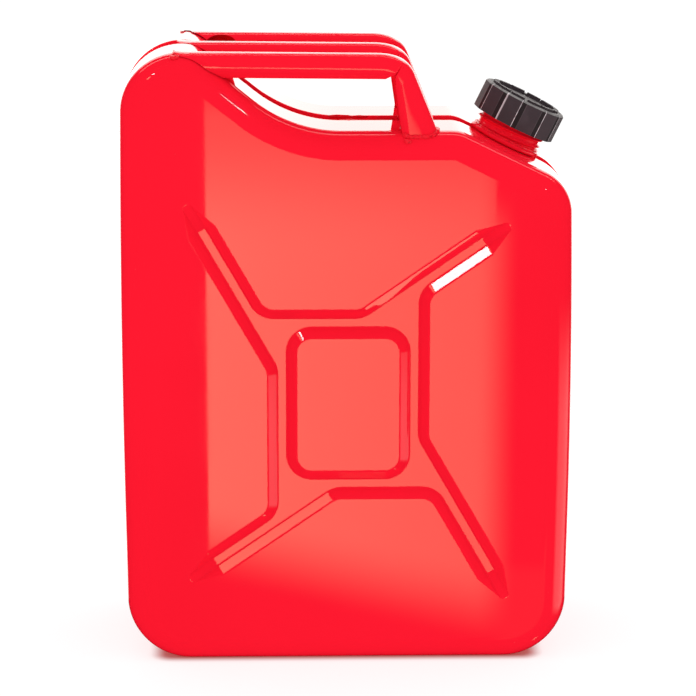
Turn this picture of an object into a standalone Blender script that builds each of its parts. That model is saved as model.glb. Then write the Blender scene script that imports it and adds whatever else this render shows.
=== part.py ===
"""Pressed steel jerry can with three handles, a tilted neck and a screw cap.

Units are metres, +Z is up, the can stands on z = 0 with the middle of its foot at the origin.
The broad faces look along -Y (front) and +Y (rear), and the neck is at the +X end.
"""
import math
from collections import namedtuple

import bmesh
import bpy
from mathutils import Matrix, Vector

MM = 0.001

# Overall size of the shell
WIDTH = 345 * MM
DEPTH = 165 * MM
HEIGHT = 480 * MM
SHEET = 1.0 * MM
CLEARANCE = 0.3 * MM

# Outline of the shell seen from the front
CORNER_RADIUS = 50 * MM
TOP_CORNER_RADIUS = 46 * MM
HUMP_WIDTH = 55.5 * MM
HUMP_RADIUS = 26 * MM
NOTCH_DEPTH = 60 * MM
NOTCH_ANGLE = math.radians(38.5)
NOTCH_RADIUS = 108 * MM
SHOULDER_WIDTH = 86.5 * MM
SHOULDER_TILT = math.radians(26)
SHOULDER_RADIUS = 25 * MM
NECK_CORNER_RADIUS = 36 * MM
SIDE_BOW = 1.7 * MM

# Section of the shell, from the broad face to the seam
FACE_FILLET = 20 * MM
LIP_RADIUS = 2 * MM
GROOVE_WIDTH = 21 * MM
GROOVE_DEPTH = 9 * MM
GROOVE_FILLET = 1 * MM
WELD_RADIUS = 1.5 * MM

# Pressed emboss on the broad faces: a channel round an island, with four arms
EMBOSS_DEPTH = 5.5 * MM
EMBOSS_SLOPE = 7.3 * MM
EMBOSS_X = 0.6 * MM
EMBOSS_Z = 209.5 * MM
EMBOSS_FADE = 40 * MM
CHANNEL_FLOOR = 7.3 * MM
CHANNEL_BEND_RADIUS = 20 * MM
ISLAND_WIDTH = 80 * MM
ISLAND_HEIGHT = 106 * MM
ISLAND_RADIUS = 12 * MM
STEEP_ANGLE = math.radians(60.3)
STEEP_OFFSET = 29.6 * MM
STEEP_REACH = 197 * MM
SHALLOW_ANGLE = math.radians(34.75)
SHALLOW_OFFSET = 45.4 * MM
SHALLOW_REACH = 181 * MM

# Handles: a pressed channel, open below, with a V notch where the bar bends into the post
HANDLE_SHEET = 1.5 * MM
HANDLE_WIDTH = 24 * MM
HANDLE_INSET = 20.5 * MM
HANDLE_SETBACK = 42 * MM
HANDLE_RISE = 1.9 * MM
HANDLE_FALL = math.radians(1.4)
HANDLE_CROWN_RADIUS = 7.5 * MM
HANDLE_HEIGHT = 18.8 * MM
TIP_LENGTH = 12 * MM
TIP_DROP = 1 * MM
TIP_WIDTH = 14 * MM
BAR_CURL_HEIGHT = 8 * MM
BAR_CURL_INSET = 5 * MM
BAR_END_X = 22 * MM
BAR_EDGE_RUN = 6.8 * MM
BEVEL_RUN = 7.3 * MM
BEVEL_RISE = 4.2 * MM
BEND_CURL_HEIGHT = 1.5 * MM
BEND_CURL_INSET = 0.5 * MM
APEX_RUN = 19 * MM
APEX_DROP = 8.2 * MM
POST_START_BACK = 4.7 * MM
POST_START_DROP = 7.8 * MM
POST_TOP_RUN = 29 * MM
POST_TOP_DROP = 15.2 * MM
POST_FOOT_X = 68.6 * MM
POST_EDGE_DROP = 10.5 * MM
POST_DEPTH_TOP = 14.5 * MM
POST_DEPTH_FOOT = 27.3 * MM
POST_CURL_HEIGHT = 5.5 * MM
POST_CURL_INSET = 3 * MM
POST_RUN_PAST_FLOOR = 24 * MM
CURL_MIDDLE_RUN = 0.55
CURL_MIDDLE_INSET = 0.3

# Neck, its axis square to the shoulder
NECK_PLACE = 42.2 * MM
NECK_RADIUS = 25.2 * MM
NECK_WALL = 1.2 * MM
NECK_ABOVE = 32.5 * MM
NECK_BELOW = 12 * MM
NECK_EDGE = 0.6 * MM
COLLAR_RADIUS = 29 * MM
COLLAR_HEIGHT = 3.7 * MM
COLLAR_EDGE = 1 * MM
BREATHER_RADIUS = 4 * MM
BREATHER_WALL = 1 * MM
BREATHER_DROP = 24 * MM
BREATHER_BEND = 16 * MM
BREATHER_RISE = 98 * MM

# Screw cap and gasket
CAP_SIDES = 12
CAP_FLAT_RADIUS = 33 * MM
CAP_TURN = math.radians(-5)
CAP_CORNER_WIDTH = 4.2 * MM
CAP_HEIGHT = 22.6 * MM
CAP_BEVEL = 1.4 * MM
CAP_PLATE = 3 * MM
CAP_BORE_RADIUS = 28.2 * MM
CAP_CROWN_HEIGHT = 1.6 * MM
CAP_CROWN_RADIUS = 28 * MM
CAP_CROWN_WALL = 4 * MM
CAP_CROWN_GAP = 2.4 * MM
CAP_RECESS = 1 * MM
GASKET_THICKNESS = 2.4 * MM
GASKET_INNER_RADIUS = 23.6 * MM
GASKET_OUTER_RADIUS = 27.7 * MM

# Number of facets
CORNER_STEPS = 9
NECK_CORNER_STEPS = 6
SHOULDER_STEPS = 2
NOTCH_STEPS = 5
HUMP_STEPS = 4
BOW_STEPS = 4
FILLET_STEPS = 5
LIP_STEPS = 2
BEND_STEPS = 4
TIP_STEPS = 4
ISLAND_STEPS = 5
CROWN_STEPS = 3
ROUND_STEPS = 48

# Cutters run this far past the faces they cut
EMBOSS_MARGIN = 0.5 * MM
TIP_SPREAD = 0.5 * MM
SEAM_TOLERANCE = 0.01 * MM

Corner = namedtuple("Corner", "x z radius steps bow")
Station = namedtuple("Station", "crown edge width curl_height curl_inset")
Material = namedtuple("Material", "colour roughness metallic")

RED_PAINT = Material((0.90, 0.012, 0.022, 1.0), 0.18, 0.0)
WELD_PAINT = Material((0.78, 0.010, 0.018, 1.0), 0.35, 0.0)
CAP_PLASTIC = Material((0.045, 0.040, 0.042, 1.0), 0.42, 0.0)
RUBBER = Material((0.02, 0.02, 0.02, 1.0), 0.75, 0.0)
BARE_STEEL = Material((0.45, 0.45, 0.46, 1.0), 0.40, 1.0)


# Scene helpers

def clear_scene():
    """Remove every object, mesh, curve and material that the file opened with."""
    for item in list(bpy.data.objects):
        bpy.data.objects.remove(item, do_unlink=True)
    for group in (bpy.data.meshes, bpy.data.curves, bpy.data.materials):
        for item in list(group):
            group.remove(item)


def make_collection(name):
    """Add a collection to the scene."""
    collection = bpy.data.collections.new(name)
    bpy.context.scene.collection.children.link(collection)
    return collection


def make_material(name, look):
    """Make a Principled material from a colour, roughness and metallic value."""
    material = bpy.data.materials.new(name)
    material.use_nodes = True
    shader = material.node_tree.nodes["Principled BSDF"]
    shader.inputs["Base Color"].default_value = look.colour
    shader.inputs["Roughness"].default_value = look.roughness
    shader.inputs["Metallic"].default_value = look.metallic
    return material


def add_piece(name, mesh, look):
    """Link a mesh as one named piece with its own material."""
    piece = bpy.data.objects.new(name, mesh)
    mesh.name = name
    mesh.materials.clear()
    mesh.materials.append(make_material(name, look))
    PARTS.objects.link(piece)
    return piece


def add_cutter(name, mesh):
    """Link a mesh as a hidden cutter."""
    cutter = bpy.data.objects.new(name, mesh)
    cutter.hide_render = True
    cutter.display_type = "WIRE"
    CUTTERS.objects.link(cutter)
    return cutter


def cut(target, cutter, name):
    """Take the cutter's volume away from the target."""
    modifier = target.modifiers.new(name, "BOOLEAN")
    modifier.operation = "DIFFERENCE"
    modifier.solver = "EXACT"
    modifier.object = cutter
    return modifier


def thicken(target, thickness):
    """Give an open surface its sheet thickness, inward from its outer face."""
    modifier = target.modifiers.new("sheet", "SOLIDIFY")
    modifier.thickness = thickness
    modifier.offset = -1
    modifier.use_even_offset = False
    return modifier


def evaluated_mesh(item):
    """Return a copy of the mesh with all modifiers applied."""
    bpy.context.view_layer.update()
    depsgraph = bpy.context.evaluated_depsgraph_get()
    return bpy.data.meshes.new_from_object(item.evaluated_get(depsgraph))


def shade_round(mesh, angle=math.radians(35)):
    """Shade smooth, with edges sharper than the angle kept crisp."""
    mesh.polygons.foreach_set("use_smooth", [True] * len(mesh.polygons))
    mesh.set_sharp_from_angle(angle=angle)


def loft(name, rings, close_rings=True, first_cap=True, last_cap=True):
    """Skin a list of rings that all have the same number of points."""
    shape = bmesh.new()
    rows = [[shape.verts.new(point) for point in ring] for ring in rings]
    count = len(rows[0])
    spans = count if close_rings else count - 1
    for lower, upper in zip(rows, rows[1:]):
        for i in range(spans):
            j = (i + 1) % count
            shape.faces.new((lower[i], lower[j], upper[j], upper[i]))
    if first_cap:
        shape.faces.new(rows[0])
    if last_cap:
        shape.faces.new(rows[-1])
    bmesh.ops.recalc_face_normals(shape, faces=shape.faces)
    mesh = bpy.data.meshes.new(name)
    shape.to_mesh(mesh)
    shape.free()
    return mesh


def turned(name, profile, look, steps=ROUND_STEPS):
    """Turn a closed profile of (radius, height) pairs round Z with a Screw modifier."""
    mesh = bpy.data.meshes.new(name)
    points = [(radius, 0, height) for radius, height in profile]
    edges = [(i, (i + 1) % len(points)) for i in range(len(points))]
    mesh.from_pydata(points, edges, [])
    piece = add_piece(name, mesh, look)
    screw = piece.modifiers.new("turn", "SCREW")
    screw.axis = "Z"
    screw.steps = steps
    screw.render_steps = steps
    screw.use_merge_vertices = True
    screw.merge_threshold = 0.00001
    screw.use_smooth_shade = True
    return piece


# Rounded outlines

def rounded_outline(corners, inset=0.0):
    """Return the points of a polygon with rounded corners, moved inward by the inset.

    The corners run anticlockwise in the XZ plane. A bow swells the edge that starts at its corner.
    """
    count = len(corners)
    spots = [Vector((corner.x, corner.z)) for corner in corners]
    ways = [(spots[(i + 1) % count] - spots[i]).normalized() for i in range(count)]
    arcs = []
    for i, corner in enumerate(corners):
        before, after = ways[i - 1], ways[i]
        turn = before.cross(after)
        half_turn = math.acos(max(-1.0, min(1.0, before.dot(after)))) / 2
        side = 1 if turn > 0 else -1
        inward = Vector((-before.y, before.x))
        shift = inset * math.tan(half_turn) * side
        vertex = spots[i] + inward * inset - before * shift
        radius = max(corner.radius - side * inset, SHEET)
        centre = vertex - before * radius * math.tan(half_turn) + inward * radius * side
        start = -inward * side
        points = []
        for step in range(corner.steps + 1):
            angle = side * 2 * half_turn * step / corner.steps
            points.append(centre + Matrix.Rotation(angle, 2) @ start * radius)
        arcs.append(points)
    outline = []
    for i, corner in enumerate(corners):
        outline.extend(arcs[i])
        if corner.bow:
            first, last = arcs[i][-1], arcs[(i + 1) % count][0]
            outward = Vector((ways[i].y, -ways[i].x))
            for step in range(1, BOW_STEPS):
                part = step / BOW_STEPS
                outline.append(first.lerp(last, part) + outward * corner.bow * 4 * part * (1 - part))
    return outline


def at_depth(outline, y):
    """Place an outline of (x, z) points at one y."""
    return [(point[0], y, point[1]) for point in outline]


def notch_floor():
    """Height of the flat floor under the handles."""
    return HEIGHT - NOTCH_DEPTH


def notch_left():
    """X of the corner where the notch's slope meets its floor."""
    return -WIDTH / 2 + HUMP_WIDTH + NOTCH_DEPTH / math.tan(NOTCH_ANGLE)


def shoulder_start():
    """Corner where the notch's floor meets the sloping shoulder."""
    return Vector((WIDTH / 2 - SHOULDER_WIDTH, notch_floor()))


def body_corners():
    """Corners of the shell's outline, anticlockwise from the lower left."""
    left, right = -WIDTH / 2, WIDTH / 2
    shoulder = shoulder_start()
    shoulder_end = shoulder.y - SHOULDER_WIDTH * math.tan(SHOULDER_TILT)
    return [
        Corner(left, 0, CORNER_RADIUS, CORNER_STEPS, 0),
        Corner(right, 0, CORNER_RADIUS, CORNER_STEPS, SIDE_BOW),
        Corner(right, shoulder_end, NECK_CORNER_RADIUS, NECK_CORNER_STEPS, 0),
        Corner(shoulder.x, shoulder.y, SHOULDER_RADIUS, SHOULDER_STEPS, 0),
        Corner(notch_left(), notch_floor(), NOTCH_RADIUS, NOTCH_STEPS, 0),
        Corner(left + HUMP_WIDTH, HEIGHT, HUMP_RADIUS, HUMP_STEPS, 0),
        Corner(left, HEIGHT, TOP_CORNER_RADIUS, CORNER_STEPS, SIDE_BOW),
    ]


# Shell

def face_profile(grow=0.0):
    """Inset and half depth of each ring from the broad face round the fillet to the wall."""
    radius = FACE_FILLET + grow
    middle = DEPTH / 2 - FACE_FILLET
    rings = []
    for step in range(FILLET_STEPS + 1):
        angle = math.pi / 2 * step / FILLET_STEPS
        rings.append((FACE_FILLET - radius * math.sin(angle), middle + radius * math.cos(angle)))
    return rings


def lip_profile(grow=0.0, sweep=math.pi / 2):
    """Inset and half depth of each ring over the lip of the seam groove."""
    radius = LIP_RADIUS + grow
    middle = GROOVE_WIDTH / 2 + LIP_RADIUS
    rings = []
    for step in range(LIP_STEPS + 1):
        angle = sweep * step / LIP_STEPS
        rings.append((LIP_RADIUS - radius * math.cos(angle), middle - radius * math.sin(angle)))
    return rings


def groove_profile():
    """Inset and half depth of the groove's wall and floor, up to the seam."""
    half = GROOVE_WIDTH / 2
    return [
        (GROOVE_DEPTH - GROOVE_FILLET, half),
        (GROOVE_DEPTH, half - GROOVE_FILLET),
        (GROOVE_DEPTH, CLEARANCE / 2),
    ]


def skin_rings(profile, side):
    """Turn inset and half depth pairs into rings on one side of the seam."""
    corners = body_corners()
    return [at_depth(rounded_outline(corners, inset), side * y) for inset, y in profile]


def shell_envelope(name):
    """Solid a little larger than the shell, which trims what stands on the shell."""
    profile = face_profile(CLEARANCE) + lip_profile(CLEARANCE, math.pi / 4)
    rings = skin_rings(profile, -1) + skin_rings(reversed(profile), 1)
    return add_cutter(name, loft(name, rings))


def line_meeting(first_point, first_way, second_point, second_way):
    """Point where two lines in a plane meet."""
    reach = (second_point - first_point).cross(second_way) / first_way.cross(second_way)
    return first_point + first_way * reach


def channel_arms():
    """Direction, sideways offset and reach of each arm, anticlockwise from the lower right."""
    steep = Vector((math.cos(STEEP_ANGLE), -math.sin(STEEP_ANGLE)))
    shallow = Vector((math.cos(SHALLOW_ANGLE), math.sin(SHALLOW_ANGLE)))
    return [
        (steep, STEEP_OFFSET, STEEP_REACH),
        (shallow, SHALLOW_OFFSET, SHALLOW_REACH),
        (-steep, STEEP_OFFSET, STEEP_REACH),
        (-shallow, SHALLOW_OFFSET, SHALLOW_REACH),
    ]


def bend_arc(first_point, first_way, second_point, second_way, radius):
    """Arc that joins two lines, from the first line to the second."""
    corner = line_meeting(first_point, first_way, second_point, second_way)
    half_turn = math.acos(first_way.dot(second_way)) / 2
    side = 1 if first_way.cross(second_way) > 0 else -1
    inward = Vector((-first_way.y, first_way.x)) * side
    start = corner - first_way * radius * math.tan(half_turn)
    centre = start + inward * radius
    arc = []
    for step in range(BEND_STEPS + 1):
        angle = side * 2 * half_turn * step / BEND_STEPS
        arc.append(centre - Matrix.Rotation(angle, 2) @ inward * radius)
    return arc


def channel_ring(spread, tip_spread):
    """Outline of the emboss channel, widened by the spread, as (point, fade) pairs.

    The fade runs from 0 on the channel's full depth to 1 at an arm's end.
    """
    centre = Vector((EMBOSS_X, EMBOSS_Z))
    half_width = ISLAND_WIDTH / 2 + EMBOSS_SLOPE + CHANNEL_FLOOR + spread
    half_height = ISLAND_HEIGHT / 2 + EMBOSS_SLOPE + CHANNEL_FLOOR + spread
    half_floor = CHANNEL_FLOOR / 2
    side_ways = [Vector((1, 0)), Vector((0, 1)), Vector((-1, 0)), Vector((0, -1))]
    side_reaches = [half_height, half_width, half_height, half_width]
    radius = CHANNEL_BEND_RADIUS - spread
    ring = []
    for k, (way, offset, reach) in enumerate(channel_arms()):
        left = Vector((-way.y, way.x))
        middle = centre + left * offset
        low_edge = middle - left * (half_floor + spread)
        high_edge = middle + left * (half_floor + spread)
        following = (k + 1) % 4
        side_way, next_way = side_ways[k], side_ways[following]
        side_point = centre + Vector((side_way.y, -side_way.x)) * side_reaches[k]
        next_point = centre + Vector((next_way.y, -next_way.x)) * side_reaches[following]
        fade_start = reach - EMBOSS_FADE
        tip_centre = middle + way * (reach - half_floor)
        ring += [(point, 0) for point in bend_arc(side_point, side_way, low_edge, way, radius)]
        ring.append((low_edge + way * fade_start, 0))
        for step in range(TIP_STEPS + 1):
            angle = math.pi * step / TIP_STEPS - math.pi / 2
            outward = way * math.cos(angle) + left * math.sin(angle)
            fade = 1 - half_floor * (1 - math.cos(angle)) / EMBOSS_FADE
            ring.append((tip_centre + outward * (half_floor + tip_spread), fade))
        ring.append((high_edge + way * fade_start, 0))
        ring += [(point, 0) for point in bend_arc(high_edge, -way, next_point, next_way, radius)]
    return ring


def emboss_cutter():
    """Solid of the pressed channel on the front face, with the island left standing."""
    face = DEPTH / 2
    outside = EMBOSS_MARGIN
    spread = EMBOSS_SLOPE * (EMBOSS_DEPTH + outside) / EMBOSS_DEPTH
    floor_ring = channel_ring(0.0, 0.0)
    outer_ring = channel_ring(spread, TIP_SPREAD)
    shape = bmesh.new()
    low, high, main_floor = [], [], []
    for point, fade in floor_ring:
        depth = EMBOSS_DEPTH - (EMBOSS_DEPTH + outside / 2) * fade
        low.append(shape.verts.new((point.x, depth - face, point.y)))
    for point, fade in outer_ring:
        high.append(shape.verts.new((point.x, -face - outside, point.y)))
    count = len(low)
    for i in range(count):
        j = (i + 1) % count
        shape.faces.new((low[i], low[j], high[j], high[i]))
    shape.faces.new(high)
    tip = []
    for i, (point, fade) in enumerate(floor_ring):
        if fade == 0 and tip:
            shape.faces.new(tip + [low[i]])
            tip = []
        if fade > 0 and not tip:
            tip = [low[i - 1]]
        if fade > 0:
            tip.append(low[i])
        else:
            main_floor.append(low[i])
    shape.faces.new(main_floor)
    bmesh.ops.recalc_face_normals(shape, faces=shape.faces)
    mesh = bpy.data.meshes.new("emboss_channel")
    shape.to_mesh(mesh)
    shape.free()
    cutter = add_cutter("emboss_channel", mesh)
    cut(cutter, island_solid(), "island")
    return cutter


def island_solid():
    """Raised island in the middle of the emboss, run past the channel's floor and face."""
    face = DEPTH / 2
    half_width, half_height = ISLAND_WIDTH / 2, ISLAND_HEIGHT / 2
    signs = [(-1, -1), (1, -1), (1, 1), (-1, 1)]
    corners = [
        Corner(EMBOSS_X + a * half_width, EMBOSS_Z + b * half_height, ISLAND_RADIUS, ISLAND_STEPS, 0)
        for a, b in signs
    ]
    rings = []
    for depth in (EMBOSS_DEPTH + EMBOSS_MARGIN, -2 * EMBOSS_MARGIN):
        inset = -EMBOSS_SLOPE * depth / EMBOSS_DEPTH
        rings.append(at_depth(rounded_outline(corners, inset), depth - face))
    return add_cutter("emboss_island", loft("emboss_island", rings))


def neck_matrix():
    """Frame of the neck, its Z square to the shoulder and its origin on the shoulder's crest."""
    start = shoulder_start()
    x = start.x + NECK_PLACE * math.cos(SHOULDER_TILT)
    z = start.y - NECK_PLACE * math.sin(SHOULDER_TILT)
    return Matrix.Translation((x, 0, z)) @ Matrix.Rotation(SHOULDER_TILT, 4, "Y")


def neck_hole():
    """Cutter of the hole through both halves for the neck."""
    shape = bmesh.new()
    radius = NECK_RADIUS + CLEARANCE
    length = 2 * (GROOVE_DEPTH + LIP_RADIUS)
    bmesh.ops.create_cone(
        shape, cap_ends=True, segments=ROUND_STEPS, radius1=radius, radius2=radius, depth=length
    )
    mesh = bpy.data.meshes.new("neck_hole")
    shape.to_mesh(mesh)
    shape.free()
    cutter = add_cutter("neck_hole", mesh)
    cutter.matrix_world = neck_matrix() @ Matrix.Translation((0, 0, -LIP_RADIUS))
    return cutter


def pressed_skin():
    """Outer skin of the front half with its emboss, open at the seam."""
    rings = skin_rings(face_profile() + lip_profile() + groove_profile(), -1)
    blank = add_cutter("skin_blank", loft("skin_blank", rings))
    cut(blank, emboss_cutter(), "emboss")
    skin = evaluated_mesh(blank)
    bpy.data.objects.remove(blank)
    shape = bmesh.new()
    shape.from_mesh(skin)
    seam = CLEARANCE / 2 + SEAM_TOLERANCE
    seam_faces = [f for f in shape.faces if all(abs(v.co.y) < seam for v in f.verts)]
    bmesh.ops.delete(shape, geom=seam_faces, context="FACES")
    shape.to_mesh(skin)
    shape.free()
    return skin


def mirrored(mesh):
    """Copy of a mesh on the other side of the seam."""
    copy = mesh.copy()
    copy.transform(Matrix.Scale(-1, 4, (0, 1, 0)))
    copy.flip_normals()
    return copy


def make_half_shell(name, skin, hole):
    """Give one half of the shell its sheet thickness and the neck's hole."""
    piece = add_piece(name, skin, RED_PAINT)
    shade_round(piece.data)
    thicken(piece, SHEET)
    cut(piece, hole, "neck_hole")
    return piece


def tube_mesh(name, points, radius, sides_step, cyclic=False, caps=True):
    """Make a tube mesh along a list of points, welded, in world coordinates."""
    curve = bpy.data.curves.new(name + "_path", "CURVE")
    curve.dimensions = "3D"
    curve.bevel_depth = radius
    curve.bevel_resolution = sides_step
    curve.use_fill_caps = caps
    spline = curve.splines.new("POLY")
    spline.points.add(len(points) - 1)
    for spot, point in zip(spline.points, points):
        spot.co = (*point, 1)
    spline.use_cyclic_u = cyclic
    path = bpy.data.objects.new(name + "_path", curve)
    CUTTERS.objects.link(path)
    mesh = evaluated_mesh(path)
    bpy.data.objects.remove(path)
    shape = bmesh.new()
    shape.from_mesh(mesh)
    bmesh.ops.remove_doubles(shape, verts=shape.verts, dist=0.00001)
    shape.to_mesh(mesh)
    shape.free()
    return mesh


def make_seam_weld(hole):
    """Weld bead on the floor of the groove, all round but for the neck."""
    inset = GROOVE_DEPTH - CLEARANCE - WELD_RADIUS
    path = at_depth(rounded_outline(body_corners(), inset), 0)
    mesh = tube_mesh("seam_weld", path, WELD_RADIUS, 1, cyclic=True)
    piece = add_piece("seam_weld", mesh, WELD_PAINT)
    shade_round(piece.data, math.radians(70))
    cut(piece, hole, "neck_hole")
    return piece


# Handles

def handle_tip():
    """X of the handles' left ends on the hump."""
    return -WIDTH / 2 + HANDLE_SETBACK


def crown_point(x):
    """Point of a handle's crown line over its straight bar."""
    return Vector((x, HEIGHT + HANDLE_RISE - (x - handle_tip()) * math.tan(HANDLE_FALL)))


def handle_spacing():
    """Distance from the middle handle to each outer one."""
    return DEPTH / 2 - HANDLE_INSET


def bend_point(start, corner, finish, part):
    """Point on the smooth bend between two straight lines that meet at the corner."""
    return start.lerp(corner, part).lerp(corner.lerp(finish, part), part)


def handle_stations():
    """Sections along a handle, from its left end over the bar and the bend down the post."""
    tip, end = crown_point(handle_tip()), crown_point(BAR_END_X)
    shoulder = crown_point(handle_tip() + TIP_LENGTH)
    floor = notch_floor()
    drop = Vector((0, -HANDLE_HEIGHT))
    bar_edge = end + drop + Vector((BAR_EDGE_RUN, 0))
    bevel_end = bar_edge + Vector((BEVEL_RUN, BEVEL_RISE))
    apex = end + Vector((APEX_RUN, -APEX_DROP))
    post_start = apex - Vector((POST_START_BACK, POST_START_DROP))
    post_top = end + Vector((POST_TOP_RUN, -POST_TOP_DROP))
    post_foot = Vector((POST_FOOT_X, floor))
    edge_top = post_top - Vector((POST_DEPTH_TOP, POST_EDGE_DROP))
    edge_foot = Vector((POST_FOOT_X - POST_DEPTH_FOOT, floor))
    past_foot = (post_foot - post_top).normalized() * POST_RUN_PAST_FLOOR
    past_edge = (edge_foot - edge_top).normalized() * POST_RUN_PAST_FLOOR
    corner = line_meeting(end, end - tip, post_top, post_foot - post_top)
    bend = [bend_point(end, corner, post_top, step / BEND_STEPS) for step in range(1, BEND_STEPS)]
    bar = (HANDLE_WIDTH, BAR_CURL_HEIGHT, BAR_CURL_INSET)
    bent = (HANDLE_WIDTH, BEND_CURL_HEIGHT, BEND_CURL_INSET)
    post = (HANDLE_WIDTH, POST_CURL_HEIGHT, POST_CURL_INSET)
    return [
        Station(tip - Vector((0, TIP_DROP)), tip + drop, TIP_WIDTH, BAR_CURL_HEIGHT, 0),
        Station(shoulder, shoulder + drop, *bar),
        Station(end, bar_edge, *bar),
        Station(bend[0], bevel_end, *bent),
        Station(bend[1], apex, *bent),
        Station(bend[2], post_start, *bent),
        Station(post_top, edge_top, *post),
        Station(post_foot + past_foot, edge_foot + past_edge, *post),
    ]


def handle_ring(station, y):
    """Outer line of the channel's section at one station, from the far lower edge to the near."""
    depth = (station.edge - station.crown).length
    way = (station.edge - station.crown) / depth
    half = station.width / 2
    radius = min(HANDLE_CROWN_RADIUS, depth / 2, half - HANDLE_SHEET)
    side = [(0.0, 0.0)]
    for step in range(CROWN_STEPS + 1):
        angle = math.pi / 2 * step / CROWN_STEPS
        side.append((half - radius * (1 - math.sin(angle)), radius * (1 - math.cos(angle))))
    curl_start = depth - station.curl_height
    curl_middle = curl_start + station.curl_height * CURL_MIDDLE_RUN
    side.append((half, curl_start))
    side.append((half - station.curl_inset * CURL_MIDDLE_INSET, curl_middle))
    side.append((half - station.curl_inset, depth))
    section = list(reversed(side)) + [(-across, down) for across, down in side[1:]]
    ring = []
    for across, down in section:
        point = station.crown + way * down
        ring.append((point.x, y + across, point.y))
    return ring


def make_handle(name, y, envelope):
    """Press one handle strip and trim its ends to the top of the shell."""
    rings = [handle_ring(station, y) for station in handle_stations()]
    mesh = loft(name, rings, close_rings=False, first_cap=False, last_cap=False)
    piece = add_piece(name, mesh, RED_PAINT)
    shade_round(mesh, math.radians(40))
    thicken(piece, HANDLE_SHEET)
    cut(piece, envelope, "foot")
    return piece


# Neck and cap, in the neck's own frame

def make_neck_axis():
    """Empty on the shoulder that carries the neck's pieces, its Z along the neck."""
    axis = bpy.data.objects.new("neck_axis", None)
    PARTS.objects.link(axis)
    axis.matrix_world = neck_matrix()
    return axis


def edge_ring(outer, inner, low, high, edge):
    """Section of a ring with its four edges broken, outer side first and downward."""
    return [
        (outer - edge, high),
        (outer, high - edge),
        (outer, low + edge),
        (outer - edge, low),
        (inner, low),
        (inner, high),
    ]


def place(piece, axis, height):
    """Carry a piece on the neck's axis at a height over the shoulder."""
    piece.parent = axis
    piece.location = (0, 0, height)


def make_collar(axis):
    """Ring welded on the shoulder round the neck."""
    inner = NECK_RADIUS + CLEARANCE
    profile = edge_ring(COLLAR_RADIUS, inner, 0, COLLAR_HEIGHT, COLLAR_EDGE)
    place(turned("neck_collar", profile, RED_PAINT), axis, CLEARANCE)


def make_spout(axis):
    """Tube of the neck, from inside the can to the rim that the gasket closes."""
    inner = NECK_RADIUS - NECK_WALL
    profile = edge_ring(NECK_RADIUS, inner, -NECK_BELOW, NECK_ABOVE, NECK_EDGE)
    place(turned("neck_spout", profile, RED_PAINT), axis, 0)


def make_gasket(axis):
    """Rubber ring between the neck's rim and the cap's plate."""
    profile = edge_ring(GASKET_OUTER_RADIUS, GASKET_INNER_RADIUS, 0, GASKET_THICKNESS, NECK_EDGE)
    place(turned("cap_gasket", profile, RUBBER), axis, NECK_ABOVE + CLEARANCE)


def cap_ring(height, inset=0.0):
    """Twelve sided outline of the cap with its corners cut flat."""
    pitch = 2 * math.pi / CAP_SIDES
    flat = CAP_FLAT_RADIUS - inset
    corner = math.asin(CAP_CORNER_WIDTH / 2 / CAP_FLAT_RADIUS)
    ring = []
    for k in range(CAP_SIDES):
        for shift in (-corner, corner):
            angle = CAP_TURN + k * pitch + shift
            radius = flat / math.cos(pitch / 2 - abs(shift))
            ring.append((radius * math.cos(angle), radius * math.sin(angle), height))
    return ring


def cylinder_tool(name, radius, low, high):
    """Round tool for the cap, between two heights."""
    shape = bmesh.new()
    bmesh.ops.create_cone(
        shape, cap_ends=True, segments=ROUND_STEPS, radius1=radius, radius2=radius, depth=high - low,
        matrix=Matrix.Translation((0, 0, (high + low) / 2)),
    )
    mesh = bpy.data.meshes.new(name)
    shape.to_mesh(mesh)
    shape.free()
    return add_cutter(name, mesh)


def crown_gaps():
    """Cutter of the gaps that break the cap's raised crown into segments."""
    shape = bmesh.new()
    middle = CAP_CROWN_RADIUS - CAP_CROWN_WALL / 2
    size = Vector((2 * CAP_CROWN_WALL, CAP_CROWN_GAP, 2 * CAP_CROWN_HEIGHT))
    for k in range(CAP_SIDES):
        angle = CAP_TURN + k * 2 * math.pi / CAP_SIDES
        turn = Matrix.Rotation(angle, 4, "Z")
        spot = Matrix.Translation((middle, 0, CAP_HEIGHT + CAP_CROWN_HEIGHT))
        bmesh.ops.create_cube(shape, size=1, matrix=turn @ spot @ Matrix.Diagonal((*size, 1)))
    mesh = bpy.data.meshes.new("cap_crown_gaps")
    shape.to_mesh(mesh)
    shape.free()
    return add_cutter("cap_crown_gaps", mesh)


def make_cap(axis):
    """Screw cap, seated with its plate on the gasket."""
    plate_under = CAP_HEIGHT - CAP_PLATE
    crown_top = CAP_HEIGHT + CAP_CROWN_HEIGHT
    recess_floor = CAP_HEIGHT - CAP_RECESS
    rings = [cap_ring(0), cap_ring(CAP_HEIGHT - CAP_BEVEL), cap_ring(CAP_HEIGHT, CAP_BEVEL)]
    piece = add_piece("screw_cap", loft("screw_cap", rings), CAP_PLASTIC)
    crown = cylinder_tool("cap_crown", CAP_CROWN_RADIUS, recess_floor, crown_top)
    recess_radius = CAP_CROWN_RADIUS - CAP_CROWN_WALL
    recess = cylinder_tool("cap_recess", recess_radius, recess_floor, crown_top + CAP_PLATE)
    bore = cylinder_tool("cap_bore", CAP_BORE_RADIUS, -CAP_PLATE, plate_under)
    gaps = crown_gaps()
    height = NECK_ABOVE + 2 * CLEARANCE + GASKET_THICKNESS - plate_under
    for item in (piece, crown, recess, bore, gaps):
        place(item, axis, height)
    cut(piece, crown, "crown").operation = "UNION"
    cut(piece, recess, "recess")
    cut(piece, bore, "bore")
    cut(piece, gaps, "crown_gaps")


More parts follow.
